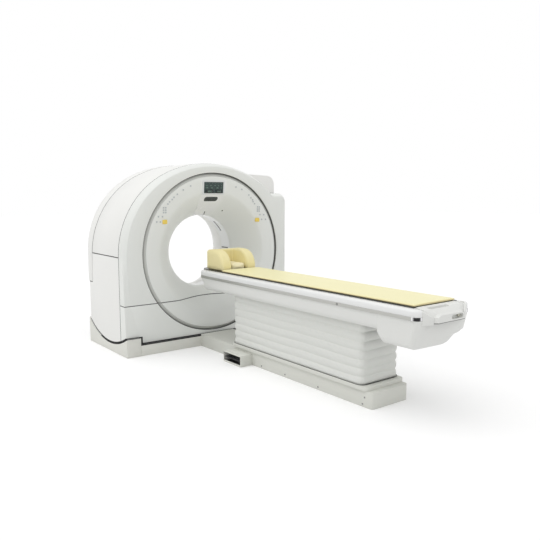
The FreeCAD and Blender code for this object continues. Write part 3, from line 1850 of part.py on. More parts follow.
build_front_upper_cover()
build_front_lower_cover()
build_ring_trim("upper_ring_trim", True)
build_ring_trim("lower_ring_trim", False)
build_shield_panel()
build_display()
build_oval_window()
build_panel_keys()
for key_name, key_centre in START_KEYS.items():
    build_start_button(key_name, key_centre)
build_laser_windows()
build_left_upper_cover()
build_left_lower_cover()
build_right_upper_housing()
build_right_side_housing()
build_rear_cover()
build_scan_window()
build_tilt_frame()
build_stand("left_stand", -1)
build_stand("right_stand", 1)
build_tilt_bearings()
build_tilt_gearmotor()
build_plinth("left_plinth", -1)
build_plinth("right_plinth", 1)
build_front_plinth_strip()
build_floor_frame()
build_rotor_bearing()
build_rotor_drum()
build_slip_ring()
build_xray_tube()
build_collimator()
build_hv_tank()
build_detector()
build_table_base()
build_base_screws()
build_bellows_rim()
build_bellows()
build_columns()
build_lift_motor()
build_table_frame()
build_cradle_guides()
build_table_side_cover("table_left_cover", -1)
build_table_side_cover("table_right_cover", 1)
build_table_front_cover()
build_table_foot_cover()
build_rail("left_rail", -1)
build_rail("right_rail", 1)
build_foot_trims()
build_cradle_top()
build_mattress()
build_headrest()
build_head_pad()
build_cradle_handle()
build_release_knob()
build_pedal_box()
build_pedal("left_pedal", -58)
build_pedal("right_pedal", 58)

doc.recompute()
failed = [item.Name for item in doc.Objects if "Invalid" in item.State or "Error" in item.State]
if failed:
    raise RuntimeError(f"failed objects: {failed}")
bodies = [item for item in doc.Objects if item.TypeId == "PartDesign::Body"]
for body in bodies:
    shape = body.Shape
    if shape.isNull() or not shape.isValid() or not shape.Solids:
        raise RuntimeError(f"{body.Label}: no valid solid")

os.makedirs("parts", exist_ok=True)
for body in bodies:
    body.Shape.exportStep(f"parts/{body.Label}.step")
print(f"{len(bodies)} pieces written")
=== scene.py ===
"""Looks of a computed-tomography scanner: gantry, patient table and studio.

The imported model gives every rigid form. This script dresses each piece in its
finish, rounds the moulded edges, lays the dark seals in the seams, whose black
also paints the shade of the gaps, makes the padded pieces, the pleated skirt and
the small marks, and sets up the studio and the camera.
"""
import json
import logging
import math
from collections.abc import Callable
from dataclasses import dataclass, field
from enum import Enum

import bpy
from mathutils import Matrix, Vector, noise

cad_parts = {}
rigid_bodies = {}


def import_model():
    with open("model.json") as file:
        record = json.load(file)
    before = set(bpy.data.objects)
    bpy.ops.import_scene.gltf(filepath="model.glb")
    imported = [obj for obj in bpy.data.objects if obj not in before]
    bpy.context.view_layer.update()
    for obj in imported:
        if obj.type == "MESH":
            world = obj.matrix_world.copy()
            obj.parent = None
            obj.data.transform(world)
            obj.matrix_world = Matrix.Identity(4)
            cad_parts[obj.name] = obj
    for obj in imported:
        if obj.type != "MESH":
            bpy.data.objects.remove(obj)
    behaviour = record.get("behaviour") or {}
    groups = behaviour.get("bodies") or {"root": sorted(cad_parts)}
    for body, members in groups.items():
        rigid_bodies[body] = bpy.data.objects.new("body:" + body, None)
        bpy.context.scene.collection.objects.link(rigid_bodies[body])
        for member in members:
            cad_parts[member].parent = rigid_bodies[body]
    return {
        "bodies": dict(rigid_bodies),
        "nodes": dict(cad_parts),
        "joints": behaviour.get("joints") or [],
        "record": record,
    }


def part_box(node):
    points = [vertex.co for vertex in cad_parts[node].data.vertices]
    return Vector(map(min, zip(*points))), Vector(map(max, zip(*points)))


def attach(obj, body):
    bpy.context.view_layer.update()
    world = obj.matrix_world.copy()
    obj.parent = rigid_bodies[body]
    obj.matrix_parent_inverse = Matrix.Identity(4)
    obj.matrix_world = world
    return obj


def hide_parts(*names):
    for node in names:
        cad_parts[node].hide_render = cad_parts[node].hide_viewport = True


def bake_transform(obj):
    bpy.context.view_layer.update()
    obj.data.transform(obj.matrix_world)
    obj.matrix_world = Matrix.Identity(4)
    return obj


log = logging.getLogger("ct_scanner")

Colour = tuple[float, float, float]
Face = bpy.types.MeshPolygon


# ------------------------------------------------------------------ finishes

class Sheen(Enum):
    """How strongly a surface mirrors the studio."""

    MATT = 0.62
    SATIN = 0.42
    GLOSS = 0.26
    POLISHED = 0.14


def cloud_node(tree: bpy.types.NodeTree, place: bpy.types.Node, scale: float,
               detail: float) -> bpy.types.Node:
    """Add soft noise that lies on the object.

    Args:
        tree: Node tree of the material.
        place: Texture coordinates.
        scale: How many clouds fit a metre.
        detail: How finely they break up.

    Returns:
        The noise node.
    """
    cloud = tree.nodes.new("ShaderNodeTexNoise")
    cloud.inputs["Scale"].default_value = scale
    cloud.inputs["Detail"].default_value = detail
    tree.links.new(place.outputs["Object"], cloud.inputs["Vector"])
    return cloud


def bump_node(tree: bpy.types.NodeTree, height: bpy.types.NodeSocket, distance: float,
              strength: float) -> bpy.types.Node:
    """Add relief.

    Args:
        tree: Node tree of the material.
        height: What raises the surface.
        distance: How high it rises, in metres.
        strength: How strongly it shows, from 0 to 1.

    Returns:
        The bump node.
    """
    bump = tree.nodes.new("ShaderNodeBump")
    bump.inputs["Distance"].default_value = distance
    bump.inputs["Strength"].default_value = strength
    tree.links.new(height, bump.inputs["Height"])
    return bump


@dataclass(frozen=True)
class Finish:
    """A moulded or painted surface with a fine skin.

    Attributes:
        name: Name of the material.
        colour: Base colour, linear.
        sheen: Gloss of the surface.
        grain: Size of the skin's grain, in metres.
        relief: Height of the grain, in metres.
        drift: How much the colour wanders, from 0 to 1.
        slot: The record's material that it goes under, its own name if empty; not used.
    """

    name: str
    colour: Colour
    sheen: Sheen = Sheen.SATIN
    grain: float = 0.004
    relief: float = 0.00003
    drift: float = 0.012
    slot: str = ""

    def build(self) -> bpy.types.Material:
        """Make the material.

        Returns:
            The finished material.
        """
        material = bpy.data.materials.new(self.name)
        material.use_nodes = True
        tree = material.node_tree
        shader = tree.nodes["Principled BSDF"]
        place = tree.nodes.new("ShaderNodeTexCoord")
        self.colour_nodes(tree, shader, place)
        self.wear_nodes(tree, shader, place)
        self.relief_nodes(tree, shader, place)
        self.shader_values(shader)
        return material

    def colour_nodes(self, tree: bpy.types.NodeTree, shader: bpy.types.Node,
                     place: bpy.types.Node) -> None:
        """Let the base colour wander softly over the surface.

        Args:
            tree: Node tree of the material.
            shader: The Principled shader.
            place: Texture coordinates.
        """
        cloud = cloud_node(tree, place, 3.0, 5.0)
        ramp = tree.nodes.new("ShaderNodeMix")
        ramp.data_type = "RGBA"
        dark = [max(0.0, part * (1.0 - self.drift)) for part in self.colour]
        light = [min(1.0, part * (1.0 + self.drift)) for part in self.colour]
        ramp.inputs["A"].default_value = (*dark, 1.0)
        ramp.inputs["B"].default_value = (*light, 1.0)
        tree.links.new(cloud.outputs["Fac"], ramp.inputs["Factor"])
        tree.links.new(ramp.outputs["Result"], shader.inputs["Base Color"])

    def wear_nodes(self, tree: bpy.types.NodeTree, shader: bpy.types.Node,
                   place: bpy.types.Node) -> None:
        """Let the gloss vary where hands and cloths have rubbed.

        Args:
            tree: Node tree of the material.
            shader: The Principled shader.
            place: Texture coordinates.
        """
        rub = cloud_node(tree, place, 11.0, 6.0)
        span = tree.nodes.new("ShaderNodeMapRange")
        span.inputs["To Min"].default_value = self.sheen.value * 0.88
        span.inputs["To Max"].default_value = self.sheen.value * 1.12
        tree.links.new(rub.outputs["Fac"], span.inputs["Value"])
        tree.links.new(span.outputs["Result"], shader.inputs["Roughness"])

    def relief_nodes(self, tree: bpy.types.NodeTree, shader: bpy.types.Node,
                     place: bpy.types.Node) -> None:
        """Raise the fine skin of the surface.

        Args:
            tree: Node tree of the material.
            shader: The Principled shader.
            place: Texture coordinates.
        """
        skin = cloud_node(tree, place, 1.0 / self.grain, 3.0)
        bump = bump_node(tree, skin.outputs["Fac"], self.relief, 0.6)
        tree.links.new(bump.outputs["Normal"], shader.inputs["Normal"])

    def shader_values(self, shader: bpy.types.Node) -> None:
        """Set what is the same all over the surface.

        Args:
            shader: The Principled shader.
        """
        shader.inputs["IOR"].default_value = 1.48


@dataclass(frozen=True)
class MetalFinish(Finish):
    """Bare or polished metal."""

    def shader_values(self, shader: bpy.types.Node) -> None:
        """Make the surface metallic."""
        shader.inputs["Metallic"].default_value = 1.0


@dataclass(frozen=True)
class PaintedReflectionBandFinish(MetalFinish):
    """Polished band round a corner with a painted reflection: dark in the bend, bright at
    both ends.

    Attributes:
        bright: Colour at the ends of the band, painted reflection.
        across: Half the table's width at the band, in metres.
        along: Where the band's bend has its middle, along Y, in metres.
        spread: Distance from the middle of the bend to a bright end.
    """

    bright: Colour = (0.82, 0.82, 0.83)
    across: float = 0.2696
    along: float = -3.1696
    spread: float = 0.034

    def colour_nodes(self, tree: bpy.types.NodeTree, shader: bpy.types.Node,
                     place: bpy.types.Node) -> None:
        """Blend the painted reflection from dark to bright with the distance from the bend.

        Args:
            tree: Node tree of the material.
            shader: The Principled shader.
            place: Texture coordinates.
        """
        split = tree.nodes.new("ShaderNodeSeparateXYZ")
        tree.links.new(place.outputs["Object"], split.inputs["Vector"])
        width = tree.nodes.new("ShaderNodeMath")
        width.operation = "ABSOLUTE"
        tree.links.new(split.outputs["X"], width.inputs[0])
        point = tree.nodes.new("ShaderNodeCombineXYZ")
        tree.links.new(width.outputs["Value"], point.inputs["X"])
        tree.links.new(split.outputs["Y"], point.inputs["Y"])
        away = tree.nodes.new("ShaderNodeVectorMath")
        away.operation = "DISTANCE"
        away.inputs[1].default_value = (self.across, self.along, 0.0)
        tree.links.new(point.outputs["Vector"], away.inputs[0])
        span = tree.nodes.new("ShaderNodeMapRange")
        span.interpolation_type = "SMOOTHSTEP"
        span.inputs["From Min"].default_value = self.spread * 0.47
        span.inputs["From Max"].default_value = self.spread
        tree.links.new(away.outputs["Value"], span.inputs["Value"])
        blend = tree.nodes.new("ShaderNodeMix")
        blend.data_type = "RGBA"
        blend.inputs["A"].default_value = (*self.colour, 1.0)
        blend.inputs["B"].default_value = (*self.bright, 1.0)
        tree.links.new(span.outputs["Result"], blend.inputs["Factor"])
        tree.links.new(blend.outputs["Result"], shader.inputs["Base Color"])


@dataclass(frozen=True)
class CoatedClothFinish(Finish):
    """Coated cloth: a fine weave under a soft film.

    Attributes:
        thread: Pitch of the weave, in metres.
        crease: Depth of the soft creases, in metres.
    """

    thread: float = 0.0012
    crease: float = 0.004

    def relief_nodes(self, tree: bpy.types.NodeTree, shader: bpy.types.Node,
                     place: bpy.types.Node) -> None:
        """Raise a plain weave with a few soft creases.

        Args:
            tree: Node tree of the material.
            shader: The Principled shader.
            place: Texture coordinates.
        """
        waves = []
        for axis in ("X", "Y", "Z"):
            wave = tree.nodes.new("ShaderNodeTexWave")
            wave.bands_direction = axis
            wave.inputs["Scale"].default_value = 0.05 / self.thread
            wave.inputs["Distortion"].default_value = 0.6
            tree.links.new(place.outputs["Object"], wave.inputs["Vector"])
            waves.append(wave)
        total = waves[0].outputs["Fac"]
        for wave in waves[1:]:
            add = tree.nodes.new("ShaderNodeMath")
            add.operation = "ADD"
            tree.links.new(total, add.inputs[0])
            tree.links.new(wave.outputs["Fac"], add.inputs[1])
            total = add.outputs["Value"]
        fine = bump_node(tree, total, self.relief, 0.5)
        crease = cloud_node(tree, place, 9.0, 2.0)
        soft = bump_node(tree, crease.outputs["Fac"], self.crease, 0.35)
        tree.links.new(fine.outputs["Normal"], soft.inputs["Normal"])
        tree.links.new(soft.outputs["Normal"], shader.inputs["Normal"])


# One white for the gantry covers in two copies: darker on the front covers as painted shade,
# lighter on the others as painted light.
COVER_PAINTED_SHADE = Finish("cover_white", (0.805, 0.82, 0.79), Sheen.SATIN)
COVER_PAINTED_LIT = Finish("cover_shade", (0.855, 0.855, 0.83), Sheen.SATIN)
RING_GREY = Finish("ring_grey", (0.60, 0.61, 0.575), Sheen.SATIN)
PANEL_WHITE = Finish("panel_white", (0.86, 0.865, 0.85), Sheen.GLOSS)
BEZEL_LIGHT = Finish("bezel_light", (0.74, 0.76, 0.76), Sheen.SATIN)
SCREEN_DARK = Finish("screen_dark", (0.030, 0.055, 0.052), Sheen.POLISHED, relief=0.0)
FIGURE_GREEN = Finish("figure_green", (0.19, 0.30, 0.24), Sheen.MATT, relief=0.0,
                      slot="screen_dark")
FIGURE_BLOCK = Finish("figure_block", (0.008, 0.012, 0.012), Sheen.GLOSS, relief=0.0,
                      slot="screen_dark")
WINDOW_DARK = Finish("window_dark", (0.035, 0.042, 0.036), Sheen.POLISHED, relief=0.0)
KEY_GREY = Finish("key_grey", (0.52, 0.55, 0.56), Sheen.SATIN)
START_YELLOW = Finish("start_yellow", (0.86, 0.64, 0.12), Sheen.SATIN)
BORE_FILM = Finish("bore_film", (0.88, 0.89, 0.885), Sheen.GLOSS)
STEEL_DARK = Finish("steel_dark", (0.08, 0.085, 0.09), Sheen.SATIN)
STEEL_GREY = Finish("steel_grey", (0.27, 0.28, 0.29), Sheen.SATIN)
BRIGHT_STEEL = MetalFinish("bright_steel", (0.62, 0.62, 0.63), Sheen.SATIN)
PLINTH_BEIGE = Finish("plinth_beige", (0.73, 0.73, 0.68), Sheen.MATT)
BASE_BEIGE = Finish("base_beige", (0.70, 0.705, 0.655), Sheen.MATT)
BELLOWS_BEIGE = CoatedClothFinish("bellows_beige", (0.735, 0.745, 0.71), Sheen.MATT,
                                  relief=0.00015, crease=0.003)
SCREW_STEEL = MetalFinish("screw_steel", (0.30, 0.30, 0.30), Sheen.GLOSS)
BLACK_PLASTIC = Finish("black_plastic", (0.016, 0.016, 0.018), Sheen.MATT, grain=0.002,
                       relief=0.0001)
# Dark seal colours; in seams and gaps their dark also paints the shade that falls there.
SEAL_BLACK_SEAM_SHADE = Finish("seal_black_seam_shade", (0.014, 0.014, 0.014), Sheen.MATT, grain=0.002,
                    relief=0.00005, slot="black_plastic")
DARK_GREY_AND_SEAM_SHADE = Finish("dark_grey_and_seam_shade", (0.13, 0.13, 0.125), Sheen.MATT, grain=0.002,
                   relief=0.00005, slot="black_plastic")
COVER_CREAM = Finish("cover_cream", (0.755, 0.76, 0.735), Sheen.SATIN)
KNOB_CREAM = Finish("knob_cream", (0.62, 0.60, 0.52), Sheen.SATIN, slot="cover_cream")
RAIL_WHITE = Finish("rail_white", (0.84, 0.845, 0.84), Sheen.GLOSS)
RAIL_BAND = MetalFinish("rail_band", (0.50, 0.50, 0.475), Sheen.SATIN, grain=0.002)
# Dark base of the corner band; its painted reflection brightens towards both ends.
TRIM_PAINTED_REFLECTION = PaintedReflectionBandFinish("trim_bright", (0.035, 0.035, 0.037), Sheen.GLOSS)
CRADLE_DARK = Finish("cradle_dark", (0.03, 0.03, 0.032), Sheen.GLOSS)
MATTRESS_YELLOW = CoatedClothFinish("mattress_yellow", (0.885, 0.835, 0.485), Sheen.SATIN,
                                    relief=0.00008, crease=0.0015)
# The mattress colour darkened for its sides: painted shade.
MATTRESS_SIDE_SHADE = CoatedClothFinish("mattress_side_shade", (0.86, 0.75, 0.42), Sheen.SATIN,
                                  relief=0.00008, crease=0.0015)
HEADREST_CREAM = Finish("headrest_cream", (0.87, 0.78, 0.43), Sheen.MATT, grain=0.003,
                        relief=0.0002)
PAD_GREY = CoatedClothFinish("pad_grey", (0.90, 0.83, 0.56), Sheen.MATT, relief=0.0002,
                             crease=0.002)
COPPER_TRACK = MetalFinish("copper_track", (0.60, 0.38, 0.20), Sheen.SATIN)


# ------------------------------------------------------------------- helpers

def deselect() -> None:
    """Leave nothing selected and nothing active."""
    for item in bpy.context.selected_objects:
        item.select_set(False)
    bpy.context.view_layer.objects.active = None


def make_active(piece: bpy.types.Object) -> None:
    """Select one object alone and make it active.

    Args:
        piece: The object.
    """
    deselect()
    piece.select_set(True)
    bpy.context.view_layer.objects.active = piece


def apply_modifiers(piece: bpy.types.Object) -> None:
    """Apply every modifier of a piece, in order.

    Args:
        piece: The piece.
    """
    make_active(piece)
    for modifier in list(piece.modifiers):
        bpy.ops.object.modifier_apply(modifier=modifier.name)


def settle(piece: bpy.types.Object) -> None:
    """Put a piece's place, turn and scale into its mesh.

    Args:
        piece: The piece.
    """
    make_active(piece)
    bpy.ops.object.transform_apply(location=True, rotation=True, scale=True)


def bevel_edges(piece: bpy.types.Object, width: float, angle: float = 32.0,
                segments: int = 2) -> None:
    """Round a piece's sharp edges.

    Args:
        piece: The piece.
        width: Width of the rounding, in metres.
        angle: Smallest angle of a sharp edge, in degrees.
        segments: Facets of the rounding.
    """
    rounding = piece.modifiers.new("edge", "BEVEL")
    rounding.width = width
    rounding.segments = segments
    rounding.limit_method = "ANGLE"
    rounding.angle_limit = math.radians(angle)
    rounding.use_clamp_overlap = True
    apply_modifiers(piece)


def dress(piece: bpy.types.Object, material: bpy.types.Material) -> None:
    """Give a piece one material all over.

    Args:
        piece: The piece.
        material: Its material.
    """
    piece.data.materials.clear()
    piece.data.materials.append(material)


def edit_faces(piece: bpy.types.Object, wanted: Callable[[Face], bool]) -> None:
    """Go into edit mode with some faces of a piece selected.

    Args:
        piece: The piece.
        wanted: Says whether a face is selected.
    """
    make_active(piece)
    bpy.ops.object.mode_set(mode="EDIT")
    bpy.ops.mesh.select_mode(type="FACE")
    bpy.ops.mesh.select_all(action="DESELECT")
    bpy.ops.object.mode_set(mode="OBJECT")
    for face in piece.data.polygons:
        face.select = wanted(face)
    bpy.ops.object.mode_set(mode="EDIT")


def keep_faces(piece: bpy.types.Object, wanted: Callable[[Face], bool]) -> None:
    """Delete every face that isn't wanted.

    Args:
        piece: The piece.
        wanted: Says whether a face stays.
    """
    edit_faces(piece, lambda face: not wanted(face))
    bpy.ops.mesh.delete(type="FACE")
    bpy.ops.object.mode_set(mode="OBJECT")


def close_outward(piece: bpy.types.Object) -> None:
    """Turn all faces of a closed piece outward.

    Args:
        piece: The piece.
    """
    make_active(piece)
    bpy.ops.object.mode_set(mode="EDIT")
    bpy.ops.mesh.select_all(action="SELECT")
    bpy.ops.mesh.normals_make_consistent(inside=False)
    bpy.ops.object.mode_set(mode="OBJECT")


def face_outward(piece: bpy.types.Object) -> None:
    """Turn the faces of a skirt round the table outward if they look in.

    Args:
        piece: The skirt.
    """
    face = max(piece.data.polygons, key=lambda item: item.center.x)
    if face.normal.x < 0.0:
        piece.data.flip_normals()


@dataclass
class Workshop:
    """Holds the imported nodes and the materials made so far."""

    frame: dict
    materials: dict[str, bpy.types.Material] = field(default_factory=dict)

    def material(self, finish: Finish) -> bpy.types.Material:
        """Material of a finish, made once.

        Args:
            finish: The finish that is wanted.

        Returns:
            Its material.
        """
        if finish.name not in self.materials:
            self.materials[finish.name] = finish.build()
        return self.materials[finish.name]

    def body(self, node: str) -> str:
        """Find the body that a node belongs to.

        Args:
            node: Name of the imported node.

        Returns:
            Name of its body.
        """
        for body, members in self.frame["record"]["behaviour"]["bodies"].items():
            if node in members:
                return body
        raise ValueError(node)

    def merged_copy(self, node: str, name: str) -> bpy.types.Object:
        """Copy of a node with its loose triangles joined.

        Args:
            node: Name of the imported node.
            name: Name of the new piece.

        Returns:
            The copy, at rest, in the same place.
        """
        source = self.frame["nodes"][node]
        copy = bpy.data.objects.new(name, source.data.copy())
        bpy.context.scene.collection.objects.link(copy)
        make_active(copy)
        bpy.ops.object.mode_set(mode="EDIT")
        bpy.ops.mesh.select_all(action="SELECT")
        bpy.ops.mesh.remove_doubles(threshold=0.00002)
        bpy.ops.object.mode_set(mode="OBJECT")
        return copy

    def finish_piece(self, piece: bpy.types.Object, body: str, finish: Finish) -> None:
        """Dress a new piece, let it ride and log it.

        Args:
            piece: The new piece.
            body: Name of the body that it moves with.
            finish: Its finish.
        """
        dress(piece, self.material(finish))
        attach(piece, body)
        log.info("%s: %d faces", piece.name, len(piece.data.polygons))

    def moulding(self, node: str, finish: Finish, bevel: float = 0.0015,
                 smooth: float = 32.0) -> bpy.types.Object:
        """Stand-in for a node with smooth curves and rounded edges.

        Args:
            node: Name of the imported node.
            finish: Its finish.
            bevel: Width of the rounding on sharp edges, in metres.
            smooth: Largest angle that is shaded as one surface, in degrees.

        Returns:
            The new piece.
        """
        piece = self.merged_copy(node, node + "_skin")
        if bevel > 0.0:
            bevel_edges(piece, bevel, smooth)
        make_active(piece)
        bpy.ops.object.shade_smooth_by_angle(angle=math.radians(smooth))
        self.finish_piece(piece, self.body(node), finish)
        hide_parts(node)
        return piece

    def seal(self, node: str, name: str, wanted: Callable[[Face], bool], inward: float,
             outward: float, finish: Finish = SEAL_BLACK_SEAM_SHADE, grow: float = 0.0006) -> None:
        """Dark strip on some faces of a node: a seal in the seam beside them, painting its
        shade.

        Args:
            node: The node whose faces carry the strip.
            name: Name of the strip.
            wanted: Says which faces carry it.
            inward: How deep the strip reaches into the node, in metres.
            outward: How far it stands off the faces, in metres.
            finish: Finish of the strip.
            grow: How far it swells on every side at last, in metres.
        """
        piece = self.merged_copy(node, name)
        keep_faces(piece, wanted)
        if not piece.data.polygons:
            raise ValueError(name)
        thick = inward + outward
        wall = piece.modifiers.new("strip", "SOLIDIFY")
        wall.thickness = thick
        wall.offset = 1.0 - 2.0 * inward / thick
        swell = piece.modifiers.new("swell", "DISPLACE")
        swell.strength = grow
        swell.mid_level = 0.0
        apply_modifiers(piece)
        self.finish_piece(piece, self.body(node), finish)

    def plain(self, node: str, finish: Finish) -> None:
        """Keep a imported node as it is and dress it.

        Args:
            node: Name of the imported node.
            finish: Its finish.
        """
        dress(self.frame["nodes"][node], self.material(finish))
        log.info("%s: packed node", node)


def facing(axis: int, sign: int, level: float, slack: float = 0.0008
           ) -> Callable[[Face], bool]:
    """Choose the flat faces at one level that look along one axis.

    Args:
        axis: 0, 1 or 2 for X, Y or Z.
        sign: 1 or -1, the way that the faces look.
        level: Where they lie on that axis, in metres.
        slack: How far from it they may lie.

    Returns:
        The test for a face.
    """
    def test(face: Face) -> bool:
        """Whether a face looks that way at that level."""
        return (face.normal[axis] * sign > 0.99
                and abs(face.center[axis] - level) < slack)
    return test


# -------------------------------------------------------------------- gantry

@dataclass
class Gantry:
    """The tilting gantry, with its covers, trims, keys and display.

    Attributes:
        shop: Makes and dresses the pieces.
        axis_height: Height of the bore's axis, in metres.
        cover_edge: Rounding on the covers' sharp edges.
        lap: How deep a seal between covers reaches into its cover.
        wide_gap: How far such a seal stands into the seam.
        rim_lap: How deep the seals on the front covers' rear rim reach in.
        rim_gap: How far those seals stand back from the rim.
        rim_rear: Place of that rim, along Y.
        split_height: Seam between the two front covers.
        side_split_height: Seam between the two left covers.
        crown_end: End of the left upper cover on the crown, along X.
        shoulder_height: Foot of the right upper housing.
        rear_step_height: Step at the rear of the left lower cover.
        rear_edge: End of that cover's rear face, along X.
        slope_near: Where the slanted rear seam begins, along Y.
        skirt_lap: How deep the seals at the covers' foot reach in.
        skirt_gap: How far they stand down from the foot.
        skirt_top: Highest place of those seals.
        foot_height: Below this the whole foot carries a seal.
        leg_side: Above it only what lies further out along X,
        leg_front: or further back along Y.
        step_lap: How far the painted-shade strips on the step over the plinth reach in.
        step_side: Where that step ends, along X.
        step_top: Highest place of the step's painted-shade strips.
        ring_gap: Inner and outer radius of the groove round the ring trim.
        ring_seal_middle: Middle of the groove's seal, along Y.
        ring_seal_depth: Its depth.
        display_front: Front of the display, along Y.
        large_height: Middle of the large figures, along Z.
        large: The large figures, their middle along X and their block's width.
    """

    shop: Workshop
    axis_height: float = 0.944
    cover_edge: float = 0.004
    lap: float = 0.0015
    wide_gap: float = 0.006
    rim_lap: float = 0.003
    rim_gap: float = 0.003
    rim_rear: float = -0.265
    split_height: float = 0.488
    side_split_height: float = 0.943
    crown_end: float = 0.117
    shoulder_height: float = 1.548
    rear_step_height: float = 0.637
    rear_edge: float = -0.935
    slope_near: float = 0.28
    skirt_lap: float = 0.005
    skirt_gap: float = 0.003
    skirt_top: float = 0.32
    foot_height: float = 0.12
    leg_side: float = -0.84
    leg_front: float = -0.26
    step_lap: float = 0.030
    step_side: float = 0.9
    step_top: float = 0.2
    ring_gap: tuple[float, float] = (0.7974, 0.8046)
    ring_seal_middle: float = -0.352
    ring_seal_depth: float = 0.014
    display_front: float = -0.3722
    large_height: float = 1.5600
    large: tuple[tuple[str, float, float], ...] = (
        ("000.0", -0.052, 0.084), ("00.0", 0.058, 0.068))

    def build(self) -> None:
        """Dress every piece of the gantry."""
        # Front covers take the painted-shade copy of the white, the others the painted-light
        # copy.
        for node, finish in {
            "front_upper_cover": COVER_PAINTED_SHADE,
            "front_lower_cover": COVER_PAINTED_SHADE,
            "left_upper_cover": COVER_PAINTED_LIT,
            "left_lower_cover": COVER_PAINTED_LIT,
            "right_upper_housing": COVER_PAINTED_LIT,
            "right_side_housing": COVER_PAINTED_LIT,
            "rear_cover": COVER_PAINTED_LIT,
        }.items():
            self.shop.moulding(node, finish, bevel=self.cover_edge)
        for node, finish, bevel in (
            ("upper_ring_trim", RING_GREY, 0.002),
            ("lower_ring_trim", RING_GREY, 0.002),
            ("shield_panel", PANEL_WHITE, 0.0008),
            ("display_bezel", BEZEL_LIGHT, 0.0008),
            ("display", SCREEN_DARK, 0.0008),
            ("oval_window", WINDOW_DARK, 0.0008),
            ("panel_keys", KEY_GREY, 0.0006),
            ("start_button_left", START_YELLOW, 0.0008),
            ("start_button_right", START_YELLOW, 0.0008),
            ("scan_window", BORE_FILM, 0.0),
        ):
            self.shop.moulding(node, finish, bevel=bevel)
        for node, finish in {
            "laser_windows": WINDOW_DARK,
            "tilt_frame": STEEL_DARK,
            "rotor_bearing": BRIGHT_STEEL,
            "rotor_drum": STEEL_GREY,
            "slip_ring": COPPER_TRACK,
            "xray_tube": STEEL_GREY,
            "collimator": BRIGHT_STEEL,
            "hv_tank": STEEL_GREY,
            "detector": STEEL_DARK,
        }.items():
            self.shop.plain(node, finish)
        self.seams()
        self.ring_seal()
        self.figures()

    def seams(self) -> None:
        """Lay dark seals in the seams between the covers; they also paint the shade of the
        gaps.
        """
        for node, name in (("front_upper_cover", "front_rim_seal"),
                           ("front_lower_cover", "front_base_seal")):
            self.shop.seal(node, name, facing(1, 1, self.rim_rear), self.rim_lap,
                           self.rim_gap)
        for node, name, wanted, finish in (
            ("front_upper_cover", "front_split_seal",
             facing(2, -1, self.split_height), DARK_GREY_AND_SEAM_SHADE),
            ("left_upper_cover", "left_split_seal",
             facing(2, -1, self.side_split_height), SEAL_BLACK_SEAM_SHADE),
            ("left_upper_cover", "crown_seal",
             facing(0, 1, self.crown_end), DARK_GREY_AND_SEAM_SHADE),
            ("right_upper_housing", "shoulder_seal",
             facing(2, -1, self.shoulder_height), DARK_GREY_AND_SEAM_SHADE),
            ("left_lower_cover", "rear_step_seal",
             facing(2, 1, self.rear_step_height), DARK_GREY_AND_SEAM_SHADE),
            ("left_lower_cover", "rear_edge_seal",
             facing(0, 1, self.rear_edge), DARK_GREY_AND_SEAM_SHADE),
            ("left_upper_cover", "rear_slope_seal",
             lambda face: face.normal.y > 0.9 and face.center.y > self.slope_near,
             DARK_GREY_AND_SEAM_SHADE),
        ):
            self.shop.seal(node, name, wanted, self.lap, self.wide_gap, finish)
        for node, name in (("front_lower_cover", "front_skirt_seal"),
                           ("left_lower_cover", "left_skirt_seal"),
                           ("right_side_housing", "right_skirt_seal")):
            self.shop.seal(node, name, self.at_foot, self.skirt_lap, self.skirt_gap)
        # Dark strip on the front face beside the step: painted shade.
        self.shop.seal("front_lower_cover", "front_step_shade", self.at_step,
                       self.step_lap, 0.001)

    def at_foot(self, face: Face) -> bool:
        """Whether a face looks down along the covers' foot.

        Args:
            face: A face of a cover.

        Returns:
            True where the foot carries a seal.
        """
        place = face.center
        beside = (place.z < self.foot_height or place.x < self.leg_side
                  or place.y > self.leg_front)
        return face.normal.z < -0.35 and place.z < self.skirt_top and beside

    def at_step(self, face: Face) -> bool:
        """Whether a face is an upright side of the step over the plinth.

        Args:
            face: A face of the front lower cover.

        Returns:
            True where the step carries a seal.
        """
        return (abs(face.normal.x) > 0.9 and abs(face.center.x) < self.step_side
                and face.center.z < self.step_top)

    def ring_seal(self) -> None:
        """Dark floor of the groove round the ring trim: a gasket whose dark paints the shade
        in the groove.
        """
        inner, outer = self.ring_gap
        middle = (0.0, self.ring_seal_middle, self.axis_height)
        deselect()
        bpy.ops.mesh.primitive_circle_add(
            vertices=256, radius=outer, fill_type="NOTHING", location=middle,
            rotation=(math.pi / 2, 0.0, 0.0))
        piece = bpy.context.active_object
        piece.name = "ring_gap_seal"
        settle(piece)
        bpy.ops.object.mode_set(mode="EDIT")
        bpy.ops.mesh.select_all(action="SELECT")
        bpy.ops.mesh.extrude_edges_move()
        share = inner / outer
        bpy.ops.transform.resize(value=(share, 1.0, share), center_override=middle)
        bpy.ops.object.mode_set(mode="OBJECT")
        wall = piece.modifiers.new("depth", "SOLIDIFY")
        wall.thickness = self.ring_seal_depth
        wall.offset = 0.0
        apply_modifiers(piece)
        close_outward(piece)
        self.shop.finish_piece(piece, "gantry", DARK_GREY_AND_SEAM_SHADE)

